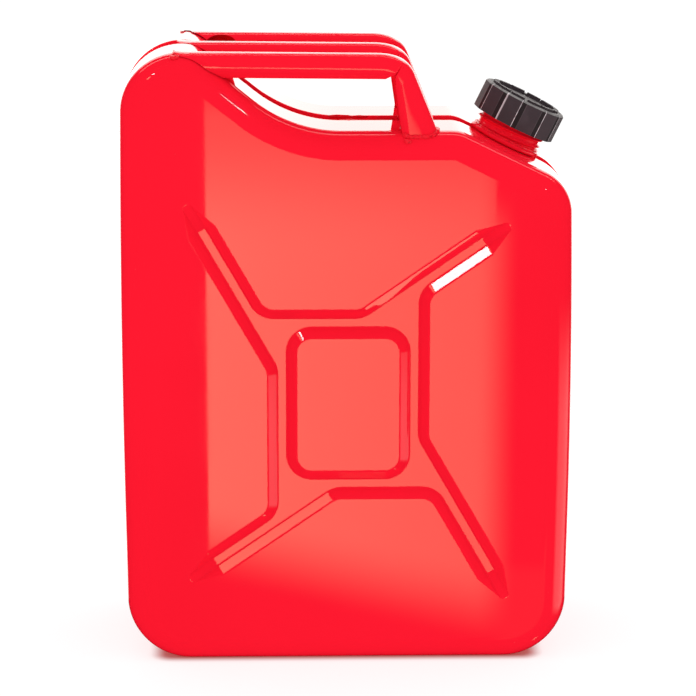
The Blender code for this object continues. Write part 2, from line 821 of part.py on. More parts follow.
def breather_path():
    """Route of the air pipe from the neck's mouth down and along to the hump's air space."""
    neck = neck_matrix()
    across = -(NECK_RADIUS - NECK_WALL - CLEARANCE - BREATHER_RADIUS)
    mouth = neck @ Vector((across, 0, NECK_ABOVE - BREATHER_RADIUS))
    inside = neck @ Vector((across, 0, -NECK_BELOW - BREATHER_BEND))
    below_groove = notch_floor() - GROOVE_DEPTH - SHEET - BREATHER_DROP
    slope = Vector((-math.cos(NOTCH_ANGLE), 0, math.sin(NOTCH_ANGLE)))
    turn_up = Vector((notch_left(), 0, below_groove))
    end = turn_up + slope * BREATHER_RISE
    return mouth, inside, Vector((inside.x - BREATHER_BEND, 0, below_groove)), turn_up, end


def make_breather():
    """Thin air pipe, hollow and open at both ends."""
    mouth, inside, level, turn_up, end = breather_path()
    stops = [mouth, inside, level, turn_up, end]
    points = [mouth]
    for k in range(1, len(stops) - 1):
        before, corner, after = stops[k - 1], stops[k], stops[k + 1]
        reach = min(BREATHER_BEND, (before - corner).length / 2, (after - corner).length / 2)
        start = corner + (before - corner).normalized() * reach
        finish = corner + (after - corner).normalized() * reach
        for step in range(BEND_STEPS + 1):
            part = step / BEND_STEPS
            points.append(bend_point(start, corner, finish, part))
    points.append(end)
    mesh = tube_mesh("breather_tube", points, BREATHER_RADIUS, 2, caps=False)
    piece = add_piece("breather_tube", mesh, BARE_STEEL)
    shade_round(mesh, math.radians(60))
    thicken(piece, BREATHER_WALL)


def main():
    """Build the can."""
    hole = neck_hole()
    skin = pressed_skin()
    make_half_shell("rear_half_shell", mirrored(skin), hole)
    make_half_shell("front_half_shell", skin, hole)
    make_seam_weld(hole)
    envelope = shell_envelope("shell_envelope")
    places = {"front": -handle_spacing(), "middle": 0.0, "rear": handle_spacing()}
    for place_name, y in places.items():
        make_handle("handle_bar_" + place_name, y, envelope)
    axis = make_neck_axis()
    make_collar(axis)
    make_spout(axis)
    make_gasket(axis)
    make_cap(axis)
    make_breather()


clear_scene()
PARTS = make_collection("metal_jerry_can")
CUTTERS = make_collection("cutters")
main()
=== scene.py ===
"""Looks of the red pressed steel jerry can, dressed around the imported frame.

Units are metres, +Z is up. The broad faces look along -Y (front) and +Y (rear), the neck is at +X.
"""

import logging
import math
from collections.abc import Callable, Iterable
from dataclasses import dataclass, field
from enum import Enum

import bmesh
import bpy
from mathutils import Matrix, Vector
from mathutils.bvhtree import BVHTree


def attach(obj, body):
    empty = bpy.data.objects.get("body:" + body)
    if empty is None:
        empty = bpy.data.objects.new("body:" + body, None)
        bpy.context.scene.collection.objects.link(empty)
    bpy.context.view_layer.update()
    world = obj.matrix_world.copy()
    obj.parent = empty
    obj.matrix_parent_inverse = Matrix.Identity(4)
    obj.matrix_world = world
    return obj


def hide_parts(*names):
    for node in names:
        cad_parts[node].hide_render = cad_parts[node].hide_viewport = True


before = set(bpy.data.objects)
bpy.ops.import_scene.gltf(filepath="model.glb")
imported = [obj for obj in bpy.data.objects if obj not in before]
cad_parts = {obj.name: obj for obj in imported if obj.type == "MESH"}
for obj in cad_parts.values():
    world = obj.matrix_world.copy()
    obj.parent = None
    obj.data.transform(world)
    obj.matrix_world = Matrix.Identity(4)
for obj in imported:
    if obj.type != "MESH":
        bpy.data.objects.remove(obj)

log = logging.getLogger("jerry_can")
MM = 0.001
Point = tuple[float, float, float]
Colour = tuple[float, float, float]
Ring = list[bmesh.types.BMVert]
# Where a soft step starts and ends, and the four places of a band with a soft step at both sides.
Edge = tuple[float, float]
Band = tuple[float, float, float, float]


class Body(Enum):
    """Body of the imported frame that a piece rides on."""

    CAN = "can"
    CARRIER = "cap_carrier"
    CAP = "cap"


# Node trees

class Value:
    """A number that varies over a surface; arithmetic on it adds Math nodes."""

    def __init__(self, tree: "NodeTree", socket: bpy.types.NodeSocket) -> None:
        """Hold a socket of a tree."""
        self.tree = tree
        self.socket = socket

    def __add__(self, other: "Value | float") -> "Value":
        """Return the sum."""
        return self.tree.math("ADD", self, other)

    def __sub__(self, other: "Value | float") -> "Value":
        """Return the difference."""
        return self.tree.math("SUBTRACT", self, other)

    def __rsub__(self, other: "Value | float") -> "Value":
        """Return another value less this one."""
        return self.tree.math("SUBTRACT", other, self)

    def __mul__(self, other: "Value | float") -> "Value":
        """Return the product."""
        return self.tree.math("MULTIPLY", self, other)

    def __truediv__(self, other: "Value | float") -> "Value":
        """Return the quotient."""
        return self.tree.math("DIVIDE", self, other)

    def __neg__(self) -> "Value":
        """Return the value with its sign turned."""
        return self.tree.math("MULTIPLY", self, -1.0)

    __radd__ = __add__
    __rmul__ = __mul__

    def over(self, low: float, high: float, first: float = 0.0, last: float = 1.0) -> "Value":
        """Return a smooth step between two values.

        Args:
            low: Value at which the step starts.
            high: Value at which it ends.
            first: What is returned at the start.
            last: What is returned at the end.

        Returns:
            The stepped value.
        """
        sockets = {"Value": self, "From Min": low, "From Max": high, "To Min": first, "To Max": last}
        node = self.tree.add("ShaderNodeMapRange", {"interpolation_type": "SMOOTHSTEP"}, sockets)
        return Value(self.tree, node.outputs["Result"])

    def band(self, low: float, full: float, last: float, end: float) -> "Value":
        """Return a mask that is 1 from one value to another, with a soft step at both.

        Args:
            low: Value at which the mask starts to rise.
            full: Value at which it is 1.
            last: Value at which it starts to fall.
            end: Value at which it is 0.

        Returns:
            The mask.
        """
        return self.over(low, full) * self.over(last, end, 1.0, 0.0)


class NodeTree:
    """Node tree with one way of adding a node."""

    def __init__(self, tree: bpy.types.NodeTree) -> None:
        """Hold the tree."""
        self.tree = tree

    def add(self, kind: str, settings: dict | None = None, sockets: dict | None = None) -> bpy.types.Node:
        """Add a node.

        Args:
            kind: Type of the node.
            settings: Properties that are set first.
            sockets: Values or links of its inputs, by name or place.

        Returns:
            The node.
        """
        node = self.tree.nodes.new(kind)
        for name, value in (settings or {}).items():
            setattr(node, name, value)
        for name, value in (sockets or {}).items():
            self.feed(node.inputs[name], value)
        return node

    def feed(self, target: bpy.types.NodeSocket, value: object) -> None:
        """Link a value to an input, or set it there.

        Args:
            target: Input of a node.
            value: Value, socket or constant that it takes.
        """
        if isinstance(value, Value):
            value = value.socket
        if isinstance(value, bpy.types.NodeSocket):
            self.tree.links.new(value, target)
        elif target.type == "RGBA" and len(value) == 3:
            target.default_value = (*value, 1.0)
        else:
            target.default_value = value

    def math(self, operation: str, first: object, second: object) -> Value:
        """Add a Math node on two values."""
        node = self.add("ShaderNodeMath", {"operation": operation}, {0: first, 1: second})
        return Value(self, node.outputs[0])

    def mix(self, factor: object, first: object, second: object) -> bpy.types.NodeSocket:
        """Mix two colours by a factor."""
        node = self.add("ShaderNodeMix", {"data_type": "RGBA"}, {0: factor, 6: first, 7: second})
        return node.outputs[2]

    def tint(self, colour: Colour, amount: object) -> bpy.types.NodeSocket:
        """Scale a colour by a number."""
        sockets = {0: colour, "Scale": amount}
        return self.add("ShaderNodeVectorMath", {"operation": "SCALE"}, sockets).outputs[0]

    def together(self, *colours: bpy.types.NodeSocket) -> bpy.types.NodeSocket:
        """Add colours up.

        Args:
            colours: Colours that are added.

        Returns:
            Their sum.
        """
        total = colours[0]
        for colour in colours[1:]:
            total = self.add("ShaderNodeVectorMath", {"operation": "ADD"}, {0: total, 1: colour}).outputs[0]
        return total


@dataclass(frozen=True)
class Patches:
    """Soft patches of noise: its waves in a metre, its octaves, and where a patch starts and is full."""

    waves: float
    octaves: float
    start: float
    full: float


class Surface(NodeTree):
    """Material of one piece, with its Principled shader."""

    # Where most of a noise lies.
    noise_range: Edge = (0.3, 0.7)
    # Radius of a speck's full middle, and where the cells that have one are full, as shares.
    speck_middle: float = 0.4
    speck_full: float = 0.98

    def __init__(self, name: str, roughness: float, metallic: float) -> None:
        """Make the material and set what is the same all over it.

        Args:
            name: Name of the material.
            roughness: Its roughness.
            metallic: How far it is a metal, 0 or 1.
        """
        self.material = bpy.data.materials.new(name)
        self.material.use_nodes = True
        super().__init__(self.material.node_tree)
        self.shader = self.tree.nodes["Principled BSDF"]
        self.paint("Roughness", roughness)
        self.paint("Metallic", metallic)
        self.place = self.add("ShaderNodeTexCoord").outputs["Object"]

    def paint(self, name: str, value: object) -> None:
        """Feed an input of the shader."""
        self.feed(self.shader.inputs[name], value)

    def noise(self, scale: float, detail: float = 2.0) -> Value:
        """Noise over the object, about half all over.

        Args:
            scale: Number of waves in a metre.
            detail: Number of finer octaves.

        Returns:
            The noise.
        """
        sockets = {"Vector": self.place, "Scale": scale, "Detail": detail}
        return Value(self, self.add("ShaderNodeTexNoise", None, sockets).outputs[0])

    def patches(self, kind: Patches, first: float = 0.0, last: float = 1.0) -> Value:
        """Mask of soft patches.

        Args:
            kind: Patches that are made.
            first: Value outside them.
            last: Value in their middle.

        Returns:
            The mask.
        """
        return self.noise(kind.waves, kind.octaves).over(kind.start, kind.full, first, last)

    def vary_roughness(self, noise: Value, limits: Edge) -> None:
        """Paint a roughness between two limits, by a noise."""
        self.paint("Roughness", noise.over(*self.noise_range, *limits))

    def along(self, way: Vector, start: Vector) -> Value:
        """Distance in metres along a direction from a point."""
        dot = self.add("ShaderNodeVectorMath", {"operation": "DOT_PRODUCT"}, {0: self.place, 1: way})
        return Value(self, dot.outputs["Value"]) - way.dot(start)

    def specks(self, scale: float, size: float, share: float) -> Value:
        """Sparse round specks.

        Args:
            scale: Number of cells in a metre.
            size: Radius of a speck in cells.
            share: Share of the cells that have one.

        Returns:
            A mask that is 1 on the specks.
        """
        cells = self.add("ShaderNodeTexVoronoi", None, {"Vector": self.place, "Scale": scale})
        near = Value(self, cells.outputs["Distance"]).over(size, size * self.speck_middle)
        pick = self.add("ShaderNodeSeparateColor", None, {0: cells.outputs["Color"]})
        return near * Value(self, pick.outputs[0]).over(share, share * self.speck_full)

    def bump(self, height: Value, distance: float) -> None:
        """Raise the surface by a height of 0 to 1 times a distance."""
        node = self.add("ShaderNodeBump", None, {"Height": height, "Distance": distance})
        self.paint("Normal", node.outputs[0])


# Finishes

class Finish:
    """Finish of a piece: what it is all over, and a dress method that paints what varies."""

    roughness: float
    metallic: float = 0.0

    def material(self, name: str) -> bpy.types.Material:
        """Make the material of one piece.

        Args:
            name: Name of the material.

        Returns:
            The material.
        """
        surface = Surface(name, self.roughness, self.metallic)
        self.dress(surface)
        return surface.material

    def dress(self, surface: Surface) -> None:
        """Paint what varies over the surface, which each finish does in its own way."""
        raise NotImplementedError


@dataclass(frozen=True)
class RedEnamel(Finish):
    """Glossy red enamel on pressed steel, with faint clouds, a little dust and orange peel."""

    colour: Colour = (0.965, 0.0100, 0.0290)
    deep: Colour = (0.915, 0.0085, 0.0250)
    deep_cover: float = 0.55
    dust: Colour = (0.95, 0.30, 0.30)
    dust_cells: float = 160
    dust_radius: float = 0.05
    dust_share: float = 0.25
    dust_cover: float = 0.6
    dust_rough: float = 0.3
    dust_patches: Patches = Patches(9, 2, 0.45, 0.7)
    deep_patches: Patches = Patches(5, 3, 0.62, 0.30)
    roughness: float = 0.012
    uneven: float = 0.006
    uneven_patches: Patches = Patches(14, 4, 0.35, 0.7)
    peel_waves: float = 260
    peel: float = 1.5e-7

    def dress(self, surface: Surface) -> None:
        """Paint the clouds, the dust and the orange peel.

        Args:
            surface: Material that is painted.
        """
        specks = surface.specks(self.dust_cells, self.dust_radius, self.dust_share)
        dust = specks * surface.patches(self.dust_patches)
        base = surface.mix(surface.patches(self.deep_patches) * self.deep_cover, self.colour, self.deep)
        surface.paint("Base Color", surface.mix(dust * self.dust_cover, base, self.dust))
        uneven = surface.patches(self.uneven_patches) * self.uneven
        surface.paint("Roughness", uneven + dust * self.dust_rough + self.roughness)
        surface.bump(surface.noise(self.peel_waves, 1), self.peel)


@dataclass(frozen=True)
class WeldEnamel(Finish):
    """Enamel over a weld bead, a little fuller and rougher, with painted shade in the hollows of its pits."""

    colour: Colour = (0.90, 0.0090, 0.0240)
    # Painted shade in the hollows of the pits.
    crease_shade: Colour = (0.50, 0.0040, 0.0100)
    roughness: float = 0.12
    rough_range: Edge = (0.08, 0.22)
    rough_waves: float = 300
    # Where the noise turns from no painted shade to full.
    crease_shade_range: Edge = (0.5, 0.25)
    pit_waves: float = 700
    pit_octaves: float = 3
    pit_depth: float = 0.12 * MM

    def dress(self, surface: Surface) -> None:
        """Paint shade into the hollows of the pits, and bump the pits.

        Args:
            surface: Material that is painted.
        """
        pits = surface.noise(self.pit_waves, self.pit_octaves)
        # Painted shade where the pits are low.
        surface.paint("Base Color", surface.mix(pits.over(*self.crease_shade_range), self.colour, self.crease_shade))
        surface.vary_roughness(surface.noise(self.rough_waves), self.rough_range)
        surface.bump(pits, self.pit_depth)


@dataclass(frozen=True)
class CapPlastic(Finish):
    """Dark grey moulded plastic with a fine grain, with painted shade on its cut corners, painted highlight
    lines along their edges and a painted grey sheen round the edge of its top.

    Corners are counted round the neck, and what lies beside one is placed in shares of the step to the next.
    """

    neck: Matrix
    colour: Colour = (0.050, 0.036, 0.042)
    worn: Colour = (0.080, 0.058, 0.068)
    # Painted shade on the cut corners.
    corner: Colour = (0.014, 0.011, 0.012)
    # Painted highlight lines along the cut corners' edges and on one rib.
    edge: Colour = (0.80, 0.72, 0.75)
    # Painted grey sheen round the edge of the top.
    rim_sheen: Colour = (0.25, 0.235, 0.23)
    roughness: float = 0.5
    rough_range: Edge = (0.46, 0.54)
    cloud_waves: float = 60
    cloud_octaves: float = 4
    worn_range: Edge = (0.45, 0.75)
    worn_cover: float = 0.5
    specular: float = 0.25
    grain_waves: float = 1800
    grain_height: float = 0.02 * MM
    corners: int = 12
    first_corner: float = 1 / 6
    # Where the painted highlight lines and rib lie round the cap, in corners, and how strong they are.
    turned_corner: float = -3
    turned_reach: Band = (-0.51, -0.49, 0.49, 0.51)
    ribbed_corner: float = -4
    corner_edge: float = 0.118
    line: Band = (-0.020, -0.004, 0.004, 0.020)
    line_side: Edge = (-0.01, 0.01)
    line_patches: Patches = Patches(220, 2, 0.35, 0.60)
    line_least: float = 0.45
    faint_line: float = 0.06
    rib: Band = (0.10, 0.12, 0.16, 0.19)
    rib_highlight: float = 0.5
    # Strength and soft edge of the painted shade on the cut corners.
    corner_shade: float = 0.8
    flat_soft: float = 0.02
    # Patches of the painted sheen round the edge of the top.
    rim_patches: Patches = Patches(120, 2, 0.3, 0.6)
    rim_cover: Edge = (0.6, 0.95)
    side: float = 32 * MM
    crown: float = 30.5 * MM
    shoulder: float = 37.3 * MM
    soft: float = 0.4 * MM

    def lights(self, surface: Surface, corner: Value, turn: Value) -> Value:
        """Painted highlight line on one side of each cut corner, and a painted highlight on the rib beside
        one of them.

        Args:
            surface: Material that the masks are made in.
            corner: Place round the cap, counted in corners.
            turn: Distance from the nearest corner.

        Returns:
            The mask of the lines and the rib.
        """
        turned = (corner - self.turned_corner).band(*self.turned_reach)
        after = (corner - surface.math("ROUND", corner, 0)) * (1 - turned * 2)
        # Painted highlight line beside each cut corner, on one side or the other.
        line = turn.band(*(self.corner_edge + place for place in self.line))
        line = line * after.over(*self.line_side, self.faint_line, 1.0)
        line = line * surface.patches(self.line_patches, self.line_least)
        # Painted highlight on one rib.
        rib = (corner - self.ribbed_corner).band(*self.rib) * self.rib_highlight
        return surface.math("MAXIMUM", line, rib)

    def dress(self, surface: Surface) -> None:
        """Paint the wear, shade on the cut corners, highlight lines along their edges, a grey sheen round the
        top's edge, and the grain.

        Args:
            surface: Material that is painted.
        """
        cloud = surface.noise(self.cloud_waves, self.cloud_octaves)
        x, y, z = (surface.along(self.neck.col[k].to_3d(), self.neck.translation) for k in range(3))
        corner = surface.math("ARCTAN2", y, x) * (self.corners / 2 / math.pi) + self.first_corner
        turn = surface.math("PINGPONG", corner, 0.5)
        reach = x * x + y * y
        side = reach.over(self.side ** 2, (self.side + self.soft) ** 2)
        # Painted grey sheen round the edge of the top, in patches.
        rim_sheen = reach.over(self.crown ** 2, (self.crown + self.soft) ** 2)
        rim_sheen = rim_sheen * z.over(self.shoulder - self.soft / 2, self.shoulder)
        rim_sheen = rim_sheen * surface.patches(self.rim_patches, *self.rim_cover)
        # Painted shade on the cut corners of the faceted side.
        flat = turn.over(self.corner_edge - self.flat_soft, self.corner_edge, 1, 0) * side * self.corner_shade
        plain = surface.mix(cloud.over(*self.worn_range) * self.worn_cover, self.colour, self.worn)
        base = surface.mix(rim_sheen, surface.mix(flat, plain, self.corner), self.rim_sheen)
        # Painted highlight lines and rib, on the faceted side only.
        surface.paint("Base Color", surface.mix(self.lights(surface, corner, turn) * side, base, self.edge))
        surface.vary_roughness(cloud, self.rough_range)
        surface.paint("Specular IOR Level", self.specular)
        surface.bump(surface.noise(self.grain_waves), self.grain_height)


@dataclass(frozen=True)
class GasketRubber(Finish):
    """Matt black rubber with a bloom."""

    colour: Colour = (0.020, 0.020, 0.021)
    bloom: Colour = (0.060, 0.058, 0.056)
    roughness: float = 0.7
    rough_range: Edge = (0.6, 0.8)
    cloud_waves: float = 120
    cloud_octaves: float = 4
    bloom_range: Edge = (0.45, 0.8)
    grain_waves: float = 1500
    grain_height: float = 0.04 * MM

    def dress(self, surface: Surface) -> None:
        """Paint the bloom and the grain.

        Args:
            surface: Material that is painted.
        """
        cloud = surface.noise(self.cloud_waves, self.cloud_octaves)
        surface.paint("Base Color", surface.mix(cloud.over(*self.bloom_range), self.colour, self.bloom))
        surface.vary_roughness(cloud, self.rough_range)
        surface.bump(surface.noise(self.grain_waves), self.grain_height)


@dataclass(frozen=True)
class BareSteel(Finish):
    """Drawn steel tube, dull and a little stained."""

    colour: Colour = (0.52, 0.50, 0.48)
    stain: Colour = (0.30, 0.22, 0.16)
    roughness: float = 0.35
    metallic: float = 1.0
    rough_range: Edge = (0.28, 0.55)
    cloud_waves: float = 35
    cloud_octaves: float = 5
    stain_range: Edge = (0.5, 0.8)
    grain_waves: float = 400
    grain_height: float = 0.04 * MM

    def dress(self, surface: Surface) -> None:
        """Paint the stains and the draw marks.

        Args:
            surface: Material that is painted.
        """
        cloud = surface.noise(self.cloud_waves, self.cloud_octaves)
        surface.paint("Base Color", surface.mix(cloud.over(*self.stain_range), self.colour, self.stain))
        surface.vary_roughness(cloud, self.rough_range)
        surface.bump(surface.noise(self.grain_waves), self.grain_height)


@dataclass(frozen=True)
class FloorPaint(Finish):
    """Pale floor that clips to white, with the red shade of the can close to its foot."""

    low: Colour = (0.29, 0.29, 0.29)
    high: Colour = (0.31, 0.31, 0.31)
    waves: float = 2
    roughness: float = 0.9
    glow: float = 0.75
    shade: Colour = (0.40, 0.06, 0.05)
    shade_half: Edge = (138 * MM, 60 * MM)
    shade_edge: Edge = (5 * MM, 20 * MM)

    def dress(self, surface: Surface) -> None:
        """Paint the white glow and the red shade under the can.

        Args:
            surface: Material that is painted.
        """
        surface.paint("Specular IOR Level", 0.0)
        surface.paint("Emission Strength", self.glow)
        surface.paint("Base Color", surface.mix(surface.noise(self.waves), self.low, self.high))
        total = 0.0
        for way, half in zip((Vector((1, 0, 0)), Vector((0, 1, 0))), self.shade_half):
            past = surface.math("ABSOLUTE", surface.along(way, Vector()), 0) - half
            past = surface.math("MAXIMUM", past, 0)
            total = past * past + total
        away = surface.math("SQRT", total, 0)
        surface.paint("Emission Color", surface.mix(away.over(*self.shade_edge), self.shade, (1, 1, 1)))


# Modelling steps

class Bench:
    """Modelling steps that all the pieces share."""

    @staticmethod
    def take(piece: bpy.types.Object) -> None:
        """Select one object alone and make it active.

        Args:
            piece: Object that is selected.
        """
        bpy.ops.object.select_all(action="DESELECT")
        piece.select_set(True)
        bpy.context.view_layer.objects.active = piece

    @staticmethod
    def primitive(name: str, add: Callable, **settings: object) -> bpy.types.Object:
        """Add a primitive under a name.

        Args:
            name: Name of the object.
            add: Operator that adds it.
            settings: Size and place of the primitive.

        Returns:
            The new object.
        """
        bpy.ops.object.select_all(action="DESELECT")
        add(**settings)
        piece = bpy.context.active_object
        piece.name = name
        piece.data.name = name
        bpy.ops.object.transform_apply(location=True, rotation=True, scale=True)
        return piece

    @staticmethod
    def wrap(name: str, mesh: bpy.types.Mesh) -> bpy.types.Object:
        """Link a mesh as one object.

        Args:
            name: Name of the object and its mesh.
            mesh: Mesh that it shows.

        Returns:
            The object.
        """
        piece = bpy.data.objects.new(name, mesh)
        bpy.context.scene.collection.objects.link(piece)
        mesh.name = name
        return piece

    @staticmethod
    def apply(piece: bpy.types.Object, kind: str, **settings: object) -> None:
        """Add a modifier and apply it.

        Args:
            piece: Object that is changed.
            kind: Type of the modifier.
            settings: Its properties.
        """
        modifier = piece.modifiers.new(kind.lower(), kind)
        for name, value in settings.items():
            setattr(modifier, name, value)
        Bench.take(piece)
        bpy.ops.object.modifier_apply(modifier=modifier.name)

    @staticmethod
    def edit(piece: bpy.types.Object, test: Callable[[bmesh.types.BMVert], bool]) -> None:
        """Enter edit mode with the vertices selected that a test picks.

        Args:
            piece: Object that is edited.
            test: Says of each vertex whether it is picked.
        """
        Bench.take(piece)
        bpy.ops.object.mode_set(mode="EDIT")
        bpy.ops.mesh.select_mode(type="VERT")
        bpy.ops.mesh.select_all(action="DESELECT")
        shape = bmesh.from_edit_mesh(piece.data)
        for vert in shape.verts:
            vert.select_set(test(vert))
        bmesh.update_edit_mesh(piece.data)

    @staticmethod
    def merge(piece: bpy.types.Object) -> None:
        """Enter edit mode with everything selected and make doubled vertices one."""
        Bench.edit(piece, lambda vert: True)
        bpy.ops.mesh.remove_doubles(threshold=1e-5)

    @staticmethod
    def done() -> None:
        """Leave edit mode."""
        bpy.ops.object.mode_set(mode="OBJECT")

    @staticmethod
    def cut(piece: bpy.types.Object, tool: bpy.types.Object) -> None:
        """Cut a piece with a tool and throw the tool away."""
        Bench.apply(piece, "BOOLEAN", operation="DIFFERENCE", solver="EXACT", object=tool)
        bpy.data.objects.remove(tool)

    @staticmethod
    def smooth(piece: bpy.types.Object, degrees: float) -> None:
        """Shade smooth, with flat faces kept flat and edges sharper than the angle kept crisp.

        Args:
            piece: Object that is shaded.
            degrees: Angle over which an edge stays crisp.
        """
        Bench.take(piece)
        bpy.ops.object.shade_smooth_by_angle(angle=math.radians(degrees))
        Bench.apply(piece, "WEIGHTED_NORMAL", keep_sharp=True, weight=100)

    @staticmethod
    def copy_node(name: str, node: str, dissolve: float = 0.4) -> bpy.types.Object:
        """Copy a CAD node as a whole mesh.

        Args:
            name: Name of the copy.
            node: CAD node that is copied.
            dissolve: Angle in degrees under which faces are made one.

        Returns:
            The copy, with its triangles merged.
        """
        piece = Bench.wrap(name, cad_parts[node].data.copy())
        piece.data.materials.clear()
        Bench.merge(piece)
        bpy.ops.mesh.dissolve_limited(angle_limit=math.radians(dissolve))
        Bench.done()
        return piece

    @staticmethod
    def finish(piece: bpy.types.Object, look: Finish, body: Body, slot: str, *nodes: str) -> None:
        """Dress a piece and make it ride on its body.

        Args:
            piece: Finished object.
            look: Finish that makes its material.
            body: Body it rides on.
            slot: Name of a material slot; not used.
            nodes: CAD nodes it stands for.
        """
        piece.data.materials.clear()
        piece.data.materials.append(look.material(piece.name))
        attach(piece, body.value)
        if nodes:
            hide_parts(*nodes)
        log.info("%s: %d faces", piece.name, len(piece.data.polygons))


def skin(shape: bmesh.types.BMesh, rings: Iterable, closed: bool = True) -> list:
    """Join rings of points with faces.

    Args:
        shape: Mesh that takes the faces.
        rings: Rings of points, all with the same number.
        closed: Whether a ring's last point joins its first.

    Returns:
        The rings' vertices.
    """
    rows = [[shape.verts.new(point) for point in ring] for ring in rings]
    count = len(rows[0])
    for lower, upper in zip(rows, rows[1:]):
        for i in range(count if closed else count - 1):
            j = (i + 1) % count
            shape.faces.new((lower[i], lower[j], upper[j], upper[i]))
    return rows


def to_mesh(shape: bmesh.types.BMesh, name: str) -> bpy.types.Mesh:
    """Turn a shape into a mesh, with its faces pointing outwards.

    Args:
        shape: Shape, which is freed.
        name: Name of the mesh.

    Returns:
        The mesh.
    """
    bmesh.ops.recalc_face_normals(shape, faces=shape.faces)
    mesh = bpy.data.meshes.new(name)
    shape.to_mesh(mesh)
    shape.free()
    return mesh


def solid(name: str, rings: Iterable) -> bpy.types.Object:
    """Join rings of points into a solid, with a face over each end.

    Args:
        name: Name of the object.
        rings: Rings of points, all with the same number.

    Returns:
        The solid.
    """
    shape = bmesh.new()
    rows = skin(shape, rings)
    shape.faces.new(rows[0])
    shape.faces.new(rows[-1])
    return Bench.wrap(name, to_mesh(shape, name))


# Outline of the can

@dataclass(frozen=True)
class Corner:
    """Rounded corner of an outline, with the bow of the edge that starts there."""

    x: float
    z: float
    radius: float
    steps: int
    bow: float = 0.0


class Outline:
    """Polygon with rounded corners in the XZ plane, anticlockwise."""

    smallest: float = 1.0 * MM
    bow_steps: int = 12

    def __init__(self, corners: list[Corner]) -> None:
        """Hold the corners."""
        self.corners = corners

    def points(self, inset: float) -> list[Vector]:
        """Points of the outline, moved inward by the inset.

        Args:
            inset: Distance inward.

        Returns:
            The points, anticlockwise.
        """
        count = len(self.corners)
        spots = [Vector((corner.x, corner.z)) for corner in self.corners]
        ways = [(spots[(i + 1) % count] - spots[i]).normalized() for i in range(count)]
        arcs = [self.arc(i, spots[i], ways[i - 1], ways[i], inset) for i in range(count)]
        outline = []
        for i, corner in enumerate(self.corners):
            outline.extend(arcs[i])
            if corner.bow:
                first, last = arcs[i][-1], arcs[(i + 1) % count][0]
                outward = Vector((ways[i].y, -ways[i].x))
                for step in range(1, self.bow_steps):
                    part = step / self.bow_steps
                    outline.append(first.lerp(last, part) + outward * corner.bow * 4 * part * (1 - part))
        return outline

    def arc(self, index: int, spot: Vector, before: Vector, after: Vector, inset: float) -> list[Vector]:
        """Points round one corner.

        Args:
            index: Place of the corner.
            spot: Corner before it is rounded.
            before: Direction of the edge that ends there.
            after: Direction of the edge that starts there.
            inset: Distance that the outline is moved inward.

        Returns:
            The arc's points.
        """
        corner = self.corners[index]
        half_turn = math.acos(max(-1.0, min(1.0, before.dot(after)))) / 2
        side = 1 if before.cross(after) > 0 else -1
        inward = Vector((-before.y, before.x))
        vertex = spot + inward * inset - before * inset * math.tan(half_turn) * side
        radius = max(corner.radius - side * inset, self.smallest)
        centre = vertex - before * radius * math.tan(half_turn) + inward * radius * side
        outward = -inward * side
        return [
            centre + Matrix.Rotation(side * 2 * half_turn * step / corner.steps, 2) @ outward * radius
            for step in range(corner.steps + 1)
        ]

    def ring(self, inset: float, y: float) -> list[Point]:
        """Points of the outline at one y."""
        return [(point.x, y, point.y) for point in self.points(inset)]


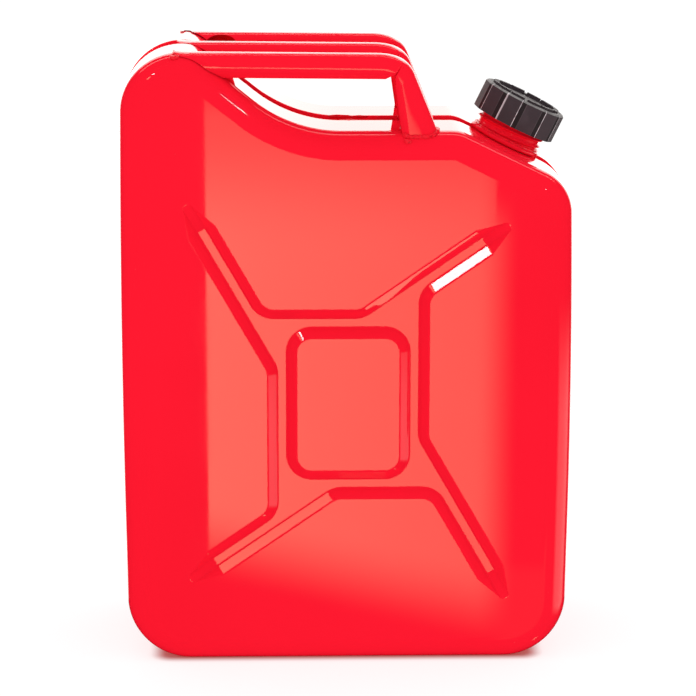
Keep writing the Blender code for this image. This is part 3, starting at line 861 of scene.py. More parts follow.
@dataclass(frozen=True)
class CanForm:
    """Sizes of the can's pressed shell."""

    width: float = 345 * MM
    depth: float = 165 * MM
    height: float = 480 * MM
    sheet: float = 1.0 * MM
    clearance: float = 0.3 * MM
    corner_radius: float = 50 * MM
    top_corner_radius: float = 46 * MM
    hump_width: float = 55.5 * MM
    hump_radius: float = 26 * MM
    notch_depth: float = 60 * MM
    notch_angle: float = math.radians(38.5)
    notch_radius: float = 108 * MM
    shoulder_width: float = 86.5 * MM
    shoulder_tilt: float = math.radians(26)
    shoulder_radius: float = 25 * MM
    neck_corner_radius: float = 36 * MM
    neck_place: float = 42.2 * MM
    neck_radius: float = 25.2 * MM
    side_bow: float = 1.7 * MM
    fillet: float = 20 * MM
    lip: float = 2 * MM
    groove_width: float = 21 * MM
    groove_depth: float = 9 * MM
    groove_fillet: float = 1 * MM
    groove_steps: int = 4
    fillet_steps: int = 16
    lip_steps: int = 8

    @property
    def floor(self) -> float:
        """Height of the notch's floor under the handles."""
        return self.height - self.notch_depth

    @property
    def shoulder(self) -> Vector:
        """Corner where the notch's floor meets the sloping shoulder."""
        return Vector((self.width / 2 - self.shoulder_width, self.floor))

    def outline(self) -> Outline:
        """Outline of the shell, anticlockwise from the lower left.

        Returns:
            The outline.
        """
        left, right = -self.width / 2, self.width / 2
        shoulder = self.shoulder
        shoulder_end = shoulder.y - self.shoulder_width * math.tan(self.shoulder_tilt)
        notch_left = left + self.hump_width + self.notch_depth / math.tan(self.notch_angle)
        return Outline([
            Corner(left, 0, self.corner_radius, 22),
            Corner(right, 0, self.corner_radius, 22, self.side_bow),
            Corner(right, shoulder_end, self.neck_corner_radius, 16),
            Corner(shoulder.x, shoulder.y, self.shoulder_radius, 8),
            Corner(notch_left, self.floor, self.notch_radius, 24),
            Corner(left + self.hump_width, self.height, self.hump_radius, 12),
            Corner(left, self.height, self.top_corner_radius, 22, self.side_bow),
        ])

    def fillet_profile(self, grow: float = 0.0) -> list[tuple[float, float]]:
        """Inset and half depth of each ring from the broad face round the fillet.

        Args:
            grow: Distance outward from the shell.

        Returns:
            The pairs of inset and half depth.
        """
        radius, middle = self.fillet + grow, self.depth / 2 - self.fillet
        angles = [math.pi / 2 * step / self.fillet_steps for step in range(self.fillet_steps + 1)]
        return [(self.fillet - radius * math.sin(a), middle + radius * math.cos(a)) for a in angles]

    def lip_profile(self, grow: float = 0.0, sweep: float = math.pi / 2) -> list[tuple[float, float]]:
        """Inset and half depth of each ring over the lip of the seam's groove.

        Args:
            grow: Distance outward from the shell.
            sweep: Angle that the lip turns through.

        Returns:
            The pairs of inset and half depth.
        """
        radius, middle = self.lip + grow, self.groove_width / 2 + self.lip
        angles = [sweep * step / self.lip_steps for step in range(self.lip_steps + 1)]
        return [(self.lip - radius * math.cos(a), middle - radius * math.sin(a)) for a in angles]

    def groove_profile(self) -> list[tuple[float, float]]:
        """Inset and half depth of the groove's wall, its soft corner and its floor up to the seam.

        Returns:
            The pairs of inset and half depth.
        """
        half, edge = self.groove_width / 2, self.groove_fillet
        points = []
        for step in range(self.groove_steps + 1):
            angle = math.pi / 2 * step / self.groove_steps
            inset = self.groove_depth - edge + edge * math.sin(angle)
            points.append((inset, half - edge + edge * math.cos(angle)))
        return points + [(self.groove_depth, self.clearance / 2)]

    def neck_matrix(self) -> Matrix:
        """Frame of the neck, its Z square to the shoulder and its origin on the shoulder's crest.

        Returns:
            The frame.
        """
        along, tilt = self.neck_place, self.shoulder_tilt
        spot = (self.shoulder.x + along * math.cos(tilt), 0, self.shoulder.y - along * math.sin(tilt))
        return Matrix.Translation(spot) @ Matrix.Rotation(tilt, 4, "Y")

    def envelope(self, gap: float) -> bpy.types.Object:
        """Solid a gap larger than the shell, which trims what stands on it.

        Args:
            gap: Distance outward from the shell.

        Returns:
            The solid.
        """
        outline = self.outline()
        profile = self.fillet_profile(gap) + self.lip_profile(gap, math.pi / 4)
        rings = [outline.ring(inset, -y) for inset, y in profile]
        rings += [outline.ring(inset, y) for inset, y in reversed(profile)]
        return solid("envelope", rings)


@dataclass(frozen=True)
class Emboss:
    """Sizes of the pressed channel round an island, with its four fading arms."""

    depth: float = 5.5 * MM
    slope: float = 7.3 * MM
    x: float = 0.6 * MM
    z: float = 209.5 * MM
    fade: float = 24 * MM
    floor: float = 7.3 * MM
    bend_radius: float = 20 * MM
    island_width: float = 80 * MM
    island_height: float = 106 * MM
    island_radius: float = 12 * MM
    steep_angle: float = math.radians(60.3)
    steep_offset: float = 29.6 * MM
    steep_reach: float = 197 * MM
    shallow_angle: float = math.radians(34.75)
    shallow_offset: float = 45.4 * MM
    shallow_reach: float = 181 * MM
    edge_radius: float = 2.6 * MM
    tip_spread: float = 0.5 * MM
    edge_steps: int = 5
    bend_steps: int = 12
    tip_steps: int = 12
    fade_steps: int = 10
    island_steps: int = 12

    def profile(self) -> list[tuple[float, float]]:
        """Distance outward from the floor's edge, and depth, up the slope with its two soft edges.

        Returns:
            The pairs of distance and depth.
        """
        angle, radius = math.atan2(self.depth, self.slope), self.edge_radius
        reach = radius * math.tan(angle / 2)
        turns = [angle * step / self.edge_steps for step in range(self.edge_steps + 1)]
        low = [(-reach + radius * math.sin(a), self.depth - radius * (1 - math.cos(a))) for a in turns]
        high = [
            (self.slope + reach - radius * math.sin(a), radius * (1 - math.cos(a))) for a in reversed(turns)
        ]
        return low + high

    def arms(self) -> list[tuple[Vector, float, float]]:
        """Direction, sideways offset and reach of each arm, anticlockwise from the lower right.

        Returns:
            One row for each arm.
        """
        steep = Vector((math.cos(self.steep_angle), -math.sin(self.steep_angle)))
        shallow = Vector((math.cos(self.shallow_angle), math.sin(self.shallow_angle)))
        return [
            (steep, self.steep_offset, self.steep_reach),
            (shallow, self.shallow_offset, self.shallow_reach),
            (-steep, self.steep_offset, self.steep_reach),
            (-shallow, self.shallow_offset, self.shallow_reach),
        ]

    def bend(
        self, first: Vector, first_way: Vector, second: Vector, second_way: Vector, radius: float,
    ) -> list[Vector]:
        """Arc that joins two lines.

        Args:
            first: Point of the first line.
            first_way: Its direction.
            second: Point of the second line.
            second_way: Its direction.
            radius: Radius of the arc.

        Returns:
            The arc's points, from the first line to the second.
        """
        reach = (second - first).cross(second_way) / first_way.cross(second_way)
        corner = first + first_way * reach
        half_turn = math.acos(first_way.dot(second_way)) / 2
        side = 1 if first_way.cross(second_way) > 0 else -1
        inward = Vector((-first_way.y, first_way.x)) * side
        centre = corner - first_way * radius * math.tan(half_turn) + inward * radius
        return [
            centre - Matrix.Rotation(side * 2 * half_turn * step / self.bend_steps, 2) @ inward * radius
            for step in range(self.bend_steps + 1)
        ]

    def arm_side(self, start: Vector, finish: Vector, last_fade: float) -> list[tuple[Vector, float]]:
        """Points along one side of an arm, from where it starts to fade to its rounded tip.

        Args:
            start: Where the arm starts to fade.
            finish: Where its rounded tip starts.
            last_fade: Fade at the tip.

        Returns:
            Pairs of point and fade.
        """
        parts = [step / self.fade_steps for step in range(self.fade_steps)]
        return [(start.lerp(finish, part), last_fade * part) for part in parts]

    def ring(self, spread: float) -> list[tuple[Vector, float]]:
        """Outline of the channel at a distance outward from its floor, as (point, fade) pairs.

        Args:
            spread: Distance outward from the floor's edge.

        Returns:
            The points, with a fade of 0 where the channel is deep and 1 at an arm's end.
        """
        centre = Vector((self.x, self.z))
        half_width = self.island_width / 2 + self.slope + self.floor + spread
        half_height = self.island_height / 2 + self.slope + self.floor + spread
        half_floor = self.floor / 2
        tip_radius = half_floor + self.tip_spread * spread / self.slope
        tip_fade = 1 - half_floor / self.fade
        side_ways = [Vector((1, 0)), Vector((0, 1)), Vector((-1, 0)), Vector((0, -1))]
        side_reaches = [half_height, half_width, half_height, half_width]
        radius = self.bend_radius - spread
        ring = []
        for k, (way, offset, reach) in enumerate(self.arms()):
            left = Vector((-way.y, way.x))
            middle = centre + left * offset
            low_edge, high_edge = middle - left * (half_floor + spread), middle + left * (half_floor + spread)
            after = (k + 1) % 4
            side_way, next_way = side_ways[k], side_ways[after]
            side_point = centre + Vector((side_way.y, -side_way.x)) * side_reaches[k]
            next_point = centre + Vector((next_way.y, -next_way.x)) * side_reaches[after]
            deep = way * (reach - self.fade)
            tip = middle + way * (reach - half_floor)
            ring += [(point, 0.0) for point in self.bend(side_point, side_way, low_edge, way, radius)]
            ring += self.arm_side(low_edge + deep, tip - left * tip_radius, tip_fade)
            for step in range(self.tip_steps + 1):
                angle = math.pi * step / self.tip_steps - math.pi / 2
                outward = way * math.cos(angle) + left * math.sin(angle)
                ring.append((tip + outward * tip_radius, 1 - half_floor * (1 - math.cos(angle)) / self.fade))
            ring += reversed(self.arm_side(high_edge + deep, tip + left * tip_radius, tip_fade))
            ring += [(point, 0.0) for point in self.bend(high_edge, -way, next_point, next_way, radius)]
        return ring

    def island(self) -> Outline:
        """Outline of the island's top edge.

        Returns:
            The outline.
        """
        half_width, half_height = self.island_width / 2, self.island_height / 2
        return Outline([
            Corner(self.x + a * half_width, self.z + b * half_height, self.island_radius, self.island_steps)
            for a, b in ((-1, -1), (1, -1), (1, 1), (-1, 1))
        ])


@dataclass
class PressedShell:
    """The two pressed halves of the can, each with its embossed broad face."""

    form: CanForm
    emboss: Emboss = field(default_factory=Emboss)
    halves: list[bpy.types.Object] = field(default_factory=list)
    hole_length: float = 40 * MM
    hole_middle: float = -5 * MM
    hole_sides: int = 96
    crisp_angle: float = 40
    bead_crisp_angle: float = 70

    def front_skin(self) -> bpy.types.Mesh:
        """Outer skin of the front half, open at the seam.

        Returns:
            The skin.
        """
        form, face = self.form, -self.form.depth / 2
        outline = form.outline()
        profile = form.fillet_profile() + form.lip_profile() + form.groove_profile()
        shape = bmesh.new()
        rows = skin(shape, [outline.ring(inset, -y) for inset, y in profile])
        slope = self.emboss.profile()
        fades = [fade for _, fade in self.emboss.ring(0.0)]
        channel = skin(shape, [
            [(point.x, face + depth * (1 - fade), point.y) for point, fade in self.emboss.ring(spread)]
            for spread, depth in slope
        ])
        raised = self.emboss.island()
        island = skin(shape, [
            raised.ring(spread - self.emboss.slope, face + depth) for spread, depth in slope
        ])
        shape.faces.new(island[-1])
        self.fill_face(shape, rows[0], channel[-1], fades)
        self.fill_floor(shape, channel[0], island[0], fades)
        mesh = to_mesh(shape, "front_skin")
        largest = max(mesh.polygons, key=lambda polygon: polygon.area)
        if largest.normal.y > 0:
            mesh.flip_normals()
        return mesh

    @staticmethod
    def between(ring: Ring, start: int, finish: int) -> Ring:
        """Part of a closed ring from one place to another, both counted in."""
        span = (finish - start) % len(ring)
        return [ring[(start + step) % len(ring)] for step in range(span + 1)]

    def fill_face(self, shape: bmesh.types.BMesh, border: Ring, channel: Ring, fades: list[float]) -> None:
        """Fill the flat face round the channel, in four panels that meet at the arms' tips.

        Args:
            shape: Mesh that takes the faces.
            border: Vertices of the face's edge.
            channel: Vertices of the channel's upper edge.
            fades: Fade at each of these, 1 at a tip.
        """
        tips = [i for i, fade in enumerate(fades) if fade == max(fades)]
        ends = [min(range(len(border)), key=lambda j: (border[j].co - channel[i].co).length) for i in tips]
        for k in range(4):
            after = (k + 1) % 4
            outer = self.between(border, ends[k], ends[after])
            inner = self.between(channel, tips[k], tips[after])
            shape.faces.new(outer + inner[::-1])

    def fill_floor(self, shape: bmesh.types.BMesh, channel: Ring, island: Ring, fades: list[float]) -> None:
        """Fill the channel's floor round the island in four panels, and each arm's rising floor.

        Args:
            shape: Mesh that takes the faces.
            channel: Vertices of the channel's lower edge.
            island: Vertices of the island's lower edge.
            fades: Fade at each of the first ones, 0 where the channel is deep.
        """
        count = len(channel)
        starts = [i for i in range(count) if fades[i] == 0 and fades[(i + 1) % count] > 0]
        ends = [i for i in range(count) if fades[i] == 0 and fades[i - 1] > 0]
        for start in starts:
            end = min(ends, key=lambda j: (j - start) % count)
            shape.faces.new(self.between(channel, start, end))
        quarter = len(island) // 4
        corners = [k * quarter + quarter // 2 for k in range(4)]
        gates = [start - self.emboss.bend_steps - 1 for start in starts]
        links = [min(corners, key=lambda j: (island[j].co - channel[g].co).length) for g in gates]
        for k in range(4):
            after = (k + 1) % 4
            arm = self.between(channel, starts[k], min(ends, key=lambda j: (j - starts[k]) % count))[1:-1]
            outer = [vert for vert in self.between(channel, gates[k], gates[after]) if vert not in arm]
            inner = self.between(island, links[k], links[after])
            shape.faces.new(outer + inner[::-1])

    def build(self) -> None:
        """Build and dress both halves."""
        front = self.front_skin()
        rear = front.copy()
        rear.transform(Matrix.Scale(-1, 4, (0, 1, 0)))
        rear.flip_normals()
        for name, mesh in (("front_half", front), ("rear_half", rear)):
            piece = Bench.wrap(name, mesh)
            Bench.apply(piece, "SOLIDIFY", thickness=self.form.sheet, offset=-1, use_even_offset=False)
            tool = Bench.primitive(
                "neck_hole", bpy.ops.mesh.primitive_cylinder_add, vertices=self.hole_sides,
                radius=self.form.neck_radius + self.form.clearance, depth=self.hole_length,
                location=(0, 0, self.hole_middle),
            )
            tool.data.transform(self.form.neck_matrix())
            Bench.cut(piece, tool)
            Bench.smooth(piece, self.crisp_angle)
            Bench.finish(piece, RedEnamel(), Body.CAN, "red_paint", name + "_shell")
            self.halves.append(piece)
        weld = Bench.copy_node("seam_bead", "seam_weld")
        Bench.smooth(weld, self.bead_crisp_angle)
        Bench.finish(weld, WeldEnamel(), Body.CAN, "weld_paint", "seam_weld")


# Handles

@dataclass(frozen=True)
class Station:
    """Section of a handle: its crown, its lower edge, its width and the curl of its sides."""

    crown: Vector
    edge: Vector
    width: float
    curl_height: float
    curl_inset: float

    def toward(self, other: "Station", part: float, crown: Vector | None = None) -> "Station":
        """Section part of the way to another one.

        Args:
            other: Section at the far end.
            part: Share of the way.
            crown: Crown of the new section, where it is off the straight line.

        Returns:
            The section.
        """
        return Station(
            crown or self.crown.lerp(other.crown, part),
            self.edge.lerp(other.edge, part),
            self.width + (other.width - self.width) * part,
            self.curl_height + (other.curl_height - self.curl_height) * part,
            self.curl_inset + (other.curl_inset - self.curl_inset) * part,
        )


@dataclass
class HandleSet:
    """Three parallel pressed handles, each a bar with a V notch and a flared post."""

    form: CanForm
    sheet: float = 1.5 * MM
    width: float = 24 * MM
    inset: float = 20.5 * MM
    setback: float = 42 * MM
    rise: float = 0.4 * MM
    fall: float = math.radians(0.6)
    crown_radius: float = 10.5 * MM
    height: float = 18.8 * MM
    tip_length: float = 12 * MM
    tip_rise: float = 0.7 * MM
    tip_width: float = 14 * MM
    # Height and inset of the curl at the lower edges, on the bar, round the bend and on the post.
    bar_curl: tuple[float, float] = (8 * MM, 5 * MM)
    bend_curl: tuple[float, float] = (1.5 * MM, 0.5 * MM)
    post_curl: tuple[float, float] = (5.5 * MM, 3 * MM)
    bar_end: float = 22 * MM
    bar_edge_run: float = 6.8 * MM
    bevel: Vector = field(default_factory=lambda: Vector((7.3, 4.2)) * MM)
    apex: Vector = field(default_factory=lambda: Vector((19, -8.2)) * MM)
    post_start: Vector = field(default_factory=lambda: Vector((-4.7, -7.8)) * MM)
    post_top: Vector = field(default_factory=lambda: Vector((29, -15.2)) * MM)
    post_foot: float = 68.6 * MM
    post_edge: Vector = field(default_factory=lambda: Vector((-14.5, -10.5)) * MM)
    post_depth_foot: float = 27.3 * MM
    past_floor: float = 24 * MM
    flat_length: float = 37 * MM
    flat_depth: float = 2.6 * MM
    gap: float = 0.9 * MM
    slot_place: Vector = field(default_factory=lambda: Vector((-97.6, 473.4)) * MM)
    slot_size: Vector = field(default_factory=lambda: Vector((11.4, 5.0)) * MM)
    slot_depth: float = 14 * MM
    slot_sides: int = 64
    crisp_angle: float = 32
    tip_rows: int = 10
    bar_rows: int = 12
    bend_rows: int = 6
    post_rows: int = 12
    crown_steps: int = 8
    curl_steps: int = 6
    curl_power: float = 1.6

    def slot(self, y: float) -> bpy.types.Object:
        """Tool for the oval opening in the near side of the rear bar.

        Args:
            y: Place of that side.

        Returns:
            The tool.
        """
        tool = Bench.primitive(
            "slot", bpy.ops.mesh.primitive_cylinder_add, vertices=self.slot_sides, radius=1,
            depth=self.slot_depth)
        spot = Vector((self.slot_place.x, y, self.slot_place.y))
        turn = Matrix.Rotation(math.pi / 2, 4, "X")
        tool.data.transform(Matrix.Translation(spot) @ turn @ Matrix.Diagonal((*self.slot_size, 1, 1)))
        return tool

    def rounding(self, station: Station, depth: float) -> tuple[float, float]:
        """Radii of the crown's rounding across and down, flatter towards the welded end.

        Args:
            station: Section that is rounded.
            depth: Height of its sides.

        Returns:
            The two radii.
        """
        part = min(1.0, (station.crown.x + self.form.width / 2 - self.setback) / self.flat_length)
        part = part * part * (3 - 2 * part)
        across = self.crown_radius + (station.width / 2 - self.crown_radius) * (1 - part)
        down = self.crown_radius + (self.flat_depth - self.crown_radius) * (1 - part)
        return min(across, station.width / 2 - self.sheet), min(down, depth / 2)

    def crown(self, x: float) -> Vector:
        """Point of the crown line over the straight bar."""
        start = -self.form.width / 2 + self.setback
        return Vector((x, self.form.height + self.rise - (x - start) * math.tan(self.fall)))

    def stations(self) -> list[Station]:
        """Sections from the left end over the bar and the bend down the post.

        Returns:
            The sections, closer together round the tip and the bend.
        """
        left = -self.form.width / 2 + self.setback
        tip, shoulder, end = self.crown(left), self.crown(left + self.tip_length), self.crown(self.bar_end)
        drop = Vector((0, -self.height))
        bar_edge = end + drop + Vector((self.bar_edge_run, 0))
        bevel_end = bar_edge + self.bevel
        apex = end + self.apex
        post_top = end + self.post_top
        foot = Vector((self.post_foot, self.form.floor))
        edge_top = post_top + self.post_edge
        edge_foot = foot - Vector((self.post_depth_foot, 0))
        way, edge_way = (foot - post_top).normalized(), (edge_foot - edge_top).normalized()
        reach = (post_top - end).cross(way) / (end - tip).normalized().cross(way)
        corner = end + (end - tip).normalized() * reach

        def bend(part: float) -> Vector:
            """Point of the crown round the bend."""
            return end.lerp(corner, part).lerp(corner.lerp(post_top, part), part)

        marks = [
            Station(tip + Vector((0, self.tip_rise)), tip + drop, self.tip_width, self.bar_curl[0], 0),
            Station(shoulder, shoulder + drop, self.width, *self.bar_curl),
            Station(end, bar_edge, self.width, *self.bar_curl),
            Station(bend(0.25), bevel_end, self.width, *self.bend_curl),
            Station(bend(0.5), apex, self.width, *self.bend_curl),
            Station(bend(0.75), apex + self.post_start, self.width, *self.bend_curl),
            Station(post_top, edge_top, self.width, *self.post_curl),
            Station(foot + way * self.past_floor, edge_foot + edge_way * self.past_floor,
                    self.width, *self.post_curl),
        ]
        rows = []
        for step in range(self.tip_rows):
            part = step / self.tip_rows
            mark = marks[0].toward(marks[1], part)
            swell = math.sqrt(1 - (1 - part) ** 2)
            rows.append(Station(mark.crown, mark.edge, self.tip_width + (self.width - self.tip_width) * swell,
                                mark.curl_height, mark.curl_inset))
        rows += [marks[1].toward(marks[2], step / self.bar_rows) for step in range(self.bar_rows)]
        for k in range(2, 6):
            for step in range(self.bend_rows):
                part = step / self.bend_rows
                rows.append(marks[k].toward(marks[k + 1], part, bend((k - 2 + part) / 4)))
        rows += [marks[6].toward(marks[7], step / self.post_rows) for step in range(self.post_rows + 1)]
        return rows

    def section(self, station: Station, y: float) -> list[Point]:
        """Outer line of the channel at one station, from the far lower edge to the near one.

        Args:
            station: Section that is drawn.
            y: Place of the handle's middle.

        Returns:
            The line's points.
        """
        depth = (station.edge - station.crown).length
        way = (station.edge - station.crown) / depth
        half = station.width / 2
        across_radius, down_radius = self.rounding(station, depth)
        side = [(0.0, 0.0)]
        for step in range(self.crown_steps + 1):
            angle = math.pi / 2 * step / self.crown_steps
            side.append((half - across_radius * (1 - math.sin(angle)), down_radius * (1 - math.cos(angle))))
        start = depth - station.curl_height
        for step in range(self.curl_steps + 1):
            part = step / self.curl_steps
            inset = station.curl_inset * part ** self.curl_power
            side.append((half - inset, start + station.curl_height * part))
        line = list(reversed(side)) + [(-across, down) for across, down in side[1:]]
        points = [(station.crown + way * down, across) for across, down in line]
        return [(point.x, y + across, point.y) for point, across in points]

    def spacing(self) -> float:
        """Distance from the middle handle to each outer one."""
        return self.form.depth / 2 - self.inset

    def build(self) -> None:
        """Build and dress the three handles."""
        spacing = self.spacing()
        for place, y in (("front", -spacing), ("middle", 0.0), ("rear", spacing)):
            shape = bmesh.new()
            skin(shape, [self.section(station, y) for station in self.stations()], closed=False)
            mesh = to_mesh(shape, "handle_" + place)
            top = max(mesh.polygons, key=lambda polygon: polygon.center.z)
            if top.normal.z < 0:
                mesh.flip_normals()
            piece = Bench.wrap("handle_" + place, mesh)
            Bench.apply(piece, "SOLIDIFY", thickness=self.sheet, offset=-1, use_even_offset=False)
            Bench.cut(piece, self.form.envelope(self.gap))
            if place == "rear":
                Bench.cut(piece, self.slot(y - self.width / 2))
            Bench.smooth(piece, self.crisp_angle)
            Bench.finish(piece, RedEnamel(), Body.CAN, "red_paint", "handle_bar_" + place)


# Welds

@dataclass
class Welds:
    """Weld beads at the handles' feet and tips and round the neck, and small lumps of weld beside them."""

    form: CanForm
    handles: HandleSet
    halves: list[bpy.types.Object]
    radius: float = 1.9 * MM
    swell: float = 0.35
    sink: float = 0.3 * MM
    step: float = 1.1 * MM
    ripple: float = 0.22
    ripple_turns: Edge = (2.1, 0.83)
    ripple_start: float = 0.4
    round_steps: int = 3
    least_end: float = 0.02
    crisp_angle: float = 60
    longest_jump: float = 8 * MM
    fewest: int = 4
    rear_clear: float = 6 * MM
    tip_radius: float = 1.2 * MM
    tip_swell: float = 0.1
    tip_steps: int = 8
    tip_inward: float = 0.2 * MM
    tip_below: float = 1 * MM
    look_from: float = 50 * MM
    ring_radius: float = 1.3 * MM
    ring_out: float = 0.9 * MM
    ring_height: float = 4.2 * MM
    ring_steps: int = 72
    # A lump's faces round and up, how its drawn-out side is stretched, the height of its wave, and how fast
    # the wave turns over the lump and with its place, along X and Z.
    lump_faces: tuple[int, int] = (24, 14)
    lump_stretch: Point = (1.25, 0.9, 0.85)
    lump_wave: float = 0.10
    lump_turns: Edge = (5, 4)
    lump_place_turns: Edge = (700, 500)
    # Along the groove in the notch, in millimetres: x, side of the groove, half length and half height.
    groove_lumps: tuple[tuple[float, int, float, float], ...] = (
        (-5, 1, 9, 1.6), (11, 1, 6, 1.0), (2, -1, 7, 0.9), (-26, -1, 10, 0.7), (47, 1, 6, 1.2),
    )
    groove_lump_width: float = 1.3
    groove_lump_sink: float = 0.4 * MM
    # Elsewhere, in millimetres: place, and half size along each axis. Those at the neck are in its frame.
    foot_lump: tuple[Point, Point] = ((45.5, -77, 413.6), (2.6, 2.4, 2.4))
    neck_lumps: tuple[tuple[Point, Point], ...] = (
        ((-34, 0, -6), (3.2, 3.0, 3.0)), ((34, 0, -6), (3.0, 2.8, 2.8)),
    )
    # At the handles' tips, in millimetres: place of the bead from where it meets the shell, and of the lump
    # from the near end of the front bead, with its half size.
    tip_shift: Point = (-0.4, 0, -0.3)
    tip_lump: tuple[Point, Point] = ((0, -3.5, -3), (3.4, 3.0, 2.4))

    def __post_init__(self) -> None:
        """Gather the shell's surfaces for the beads to lie on."""
        self.trees = []
        for piece in self.halves:
            mesh = piece.data
            self.trees.append(BVHTree.FromPolygons(
                [vert.co for vert in mesh.vertices], [tuple(polygon.vertices) for polygon in mesh.polygons]))

    def meet(self, start: Vector, way: Vector) -> Vector | None:
        """First point of the shell along a line.

        Args:
            start: Where the line starts.
            way: Its direction.

        Returns:
            The point, or nothing where the line misses.
        """
        hits = [tree.ray_cast(start, way) for tree in self.trees]
        hits = [hit for hit in hits if hit[0] is not None]
        return min(hits, key=lambda hit: hit[3])[0] if hits else None

    def bead(self, path: list[Vector], radius: float, swell: float = 0.0) -> bpy.types.Object:
        """Lay one rippled bead along a path.

        Args:
            path: Points that it passes through.
            radius: Radius of the bead.
            swell: Share by which its two ends are fatter.

        Returns:
            The bead, closed at both ends.
        """
        spots = [path[0]]
        for before, after in zip(path, path[1:]):
            count = max(1, round((after - before).length / self.step))
            spots += [before.lerp(after, k / count) for k in range(1, count + 1)]
        curve = bpy.data.curves.new("bead", "CURVE")
        curve.dimensions = "3D"
        curve.bevel_depth = radius
        curve.bevel_resolution = self.round_steps
        curve.use_fill_caps = True
        spline = curve.splines.new("POLY")
        spline.points.add(len(spots) - 1)
        last = len(spots) - 1
        fast, slow = self.ripple_turns
        for k, (spot, point) in enumerate(zip(spline.points, spots)):
            spot.co = (*point, 1)
            end = min(k, last - k) * self.step / radius
            taper = math.sqrt(max(self.least_end, 1 - (1 - min(1.0, end)) ** 2))
            wave = 1 + self.ripple * math.sin(fast * k) * math.sin(slow * k + self.ripple_start)
            spot.radius = taper * wave * (1 + swell * math.exp(-(end - 1) ** 2))
        path_object = bpy.data.objects.new("bead", curve)
        bpy.context.scene.collection.objects.link(path_object)
        Bench.take(path_object)
        bpy.ops.object.convert(target="MESH")
        bead = bpy.context.active_object
        Bench.merge(bead)
        bpy.ops.mesh.normals_make_consistent(inside=False)
        Bench.done()
        return bead

    def lump(self, spot: Vector, size: Vector) -> bpy.types.Object:
        """Small drop of weld, an uneven ball sunk in the surface.

        Args:
            spot: Its middle.
            size: Half of its size along each axis.

        Returns:
            The drop.
        """
        around, upward = self.lump_faces
        lump = Bench.primitive(
            "lump", bpy.ops.mesh.primitive_uv_sphere_add, segments=around, ring_count=upward, radius=1)
        # One side is drawn out and pressed down, and a wave that differs with the place makes it uneven.
        Bench.edit(lump, lambda vert: vert.co.x > 0.2 or vert.co.z > 0.6)
        bpy.ops.transform.resize(value=self.lump_stretch)
        Bench.done()
        (along, up), (along_place, up_place) = self.lump_turns, self.lump_place_turns
        for vert in lump.data.vertices:
            x, y, z = vert.co
            wave = self.lump_wave * math.sin(along * x + along_place * spot.x)
            wave = 1 + wave * math.cos(up * z + up_place * spot.z)
            vert.co = Vector((x * size.x, y * size.y, z * size.z)) * wave + spot
        return lump

    def dense(self, line: list[Point], count: int = 8) -> list[Vector]:
        """Points of a line with each of its stretches cut in equal parts."""
        points = [Vector(point) for point in line]
        return [a.lerp(b, k / count) for a, b in zip(points, points[1:]) for k in range(count)] + [points[-1]]

    def foot(self, y: float) -> list[bpy.types.Object]:
        """Beads round the foot of one post, broken where the groove passes under it.

        Args:
            y: Place of the handle's middle.

        Returns:
            The beads. The rear post has one on its far side alone.
        """
        rows = self.handles.stations()
        top = self.dense(self.handles.section(rows[-1 - self.handles.post_rows], y))
        low = self.dense(self.handles.section(rows[-1], y))
        groove = self.form.groove_width / 2 + self.form.lip
        runs, run = [], []
        for start, finish in zip(top, low):
            way = (finish - start).normalized()
            clear = abs(start.y) > groove and (y <= 0 or start.y > y + self.rear_clear)
            spot = self.meet(start, way) if clear else None
            if spot is None or (run and (spot - run[-1]).length > self.longest_jump):
                runs.append(run)
                run = []
            if spot is not None and (not run or (spot - run[-1]).length > self.step):
                run.append(spot - way * self.sink)
        runs.append(run)
        return [self.bead(run, self.radius, self.swell) for run in runs if len(run) >= self.fewest]

    def tip(self, y: float) -> list[bpy.types.Object]:
        """Bead across the end of one handle on the hump, with a lump before the front one.

        Args:
            y: Place of the handle's middle.

        Returns:
            The bead and the lump.
        """
        left = -self.form.width / 2 + self.handles.setback
        half = self.handles.tip_width / 2
        height, down = self.form.height, Vector((0, 0, -1))
        path = []
        for k in range(self.tip_steps + 1):
            across = (2 * k / self.tip_steps - 1) * half
            spot = self.meet(Vector((left + self.tip_inward, y + across, height + self.look_from)), down)
            if spot is not None and spot.z > height - self.form.lip - self.tip_below:
                path.append(spot + Vector(self.tip_shift) * MM)
        beads = [self.bead(path, self.tip_radius, self.tip_swell)] if len(path) >= self.fewest else []
        if y < 0:
            shift, size = self.tip_lump
            beads.append(self.lump(Vector((left, y - half, height)) + Vector(shift) * MM, Vector(size) * MM))
        return beads

    def neck_ring(self) -> bpy.types.Object:
        """Bead round the neck on its collar.

        Returns:
            The bead.
        """
        neck, reach = self.form.neck_matrix(), self.form.neck_radius + self.ring_out
        turns = [math.pi / 2 + 2 * math.pi * step / self.ring_steps for step in range(self.ring_steps + 1)]
        path = [neck @ Vector((reach * math.cos(a), reach * math.sin(a), self.ring_height)) for a in turns]
        return self.bead(path, self.ring_radius)

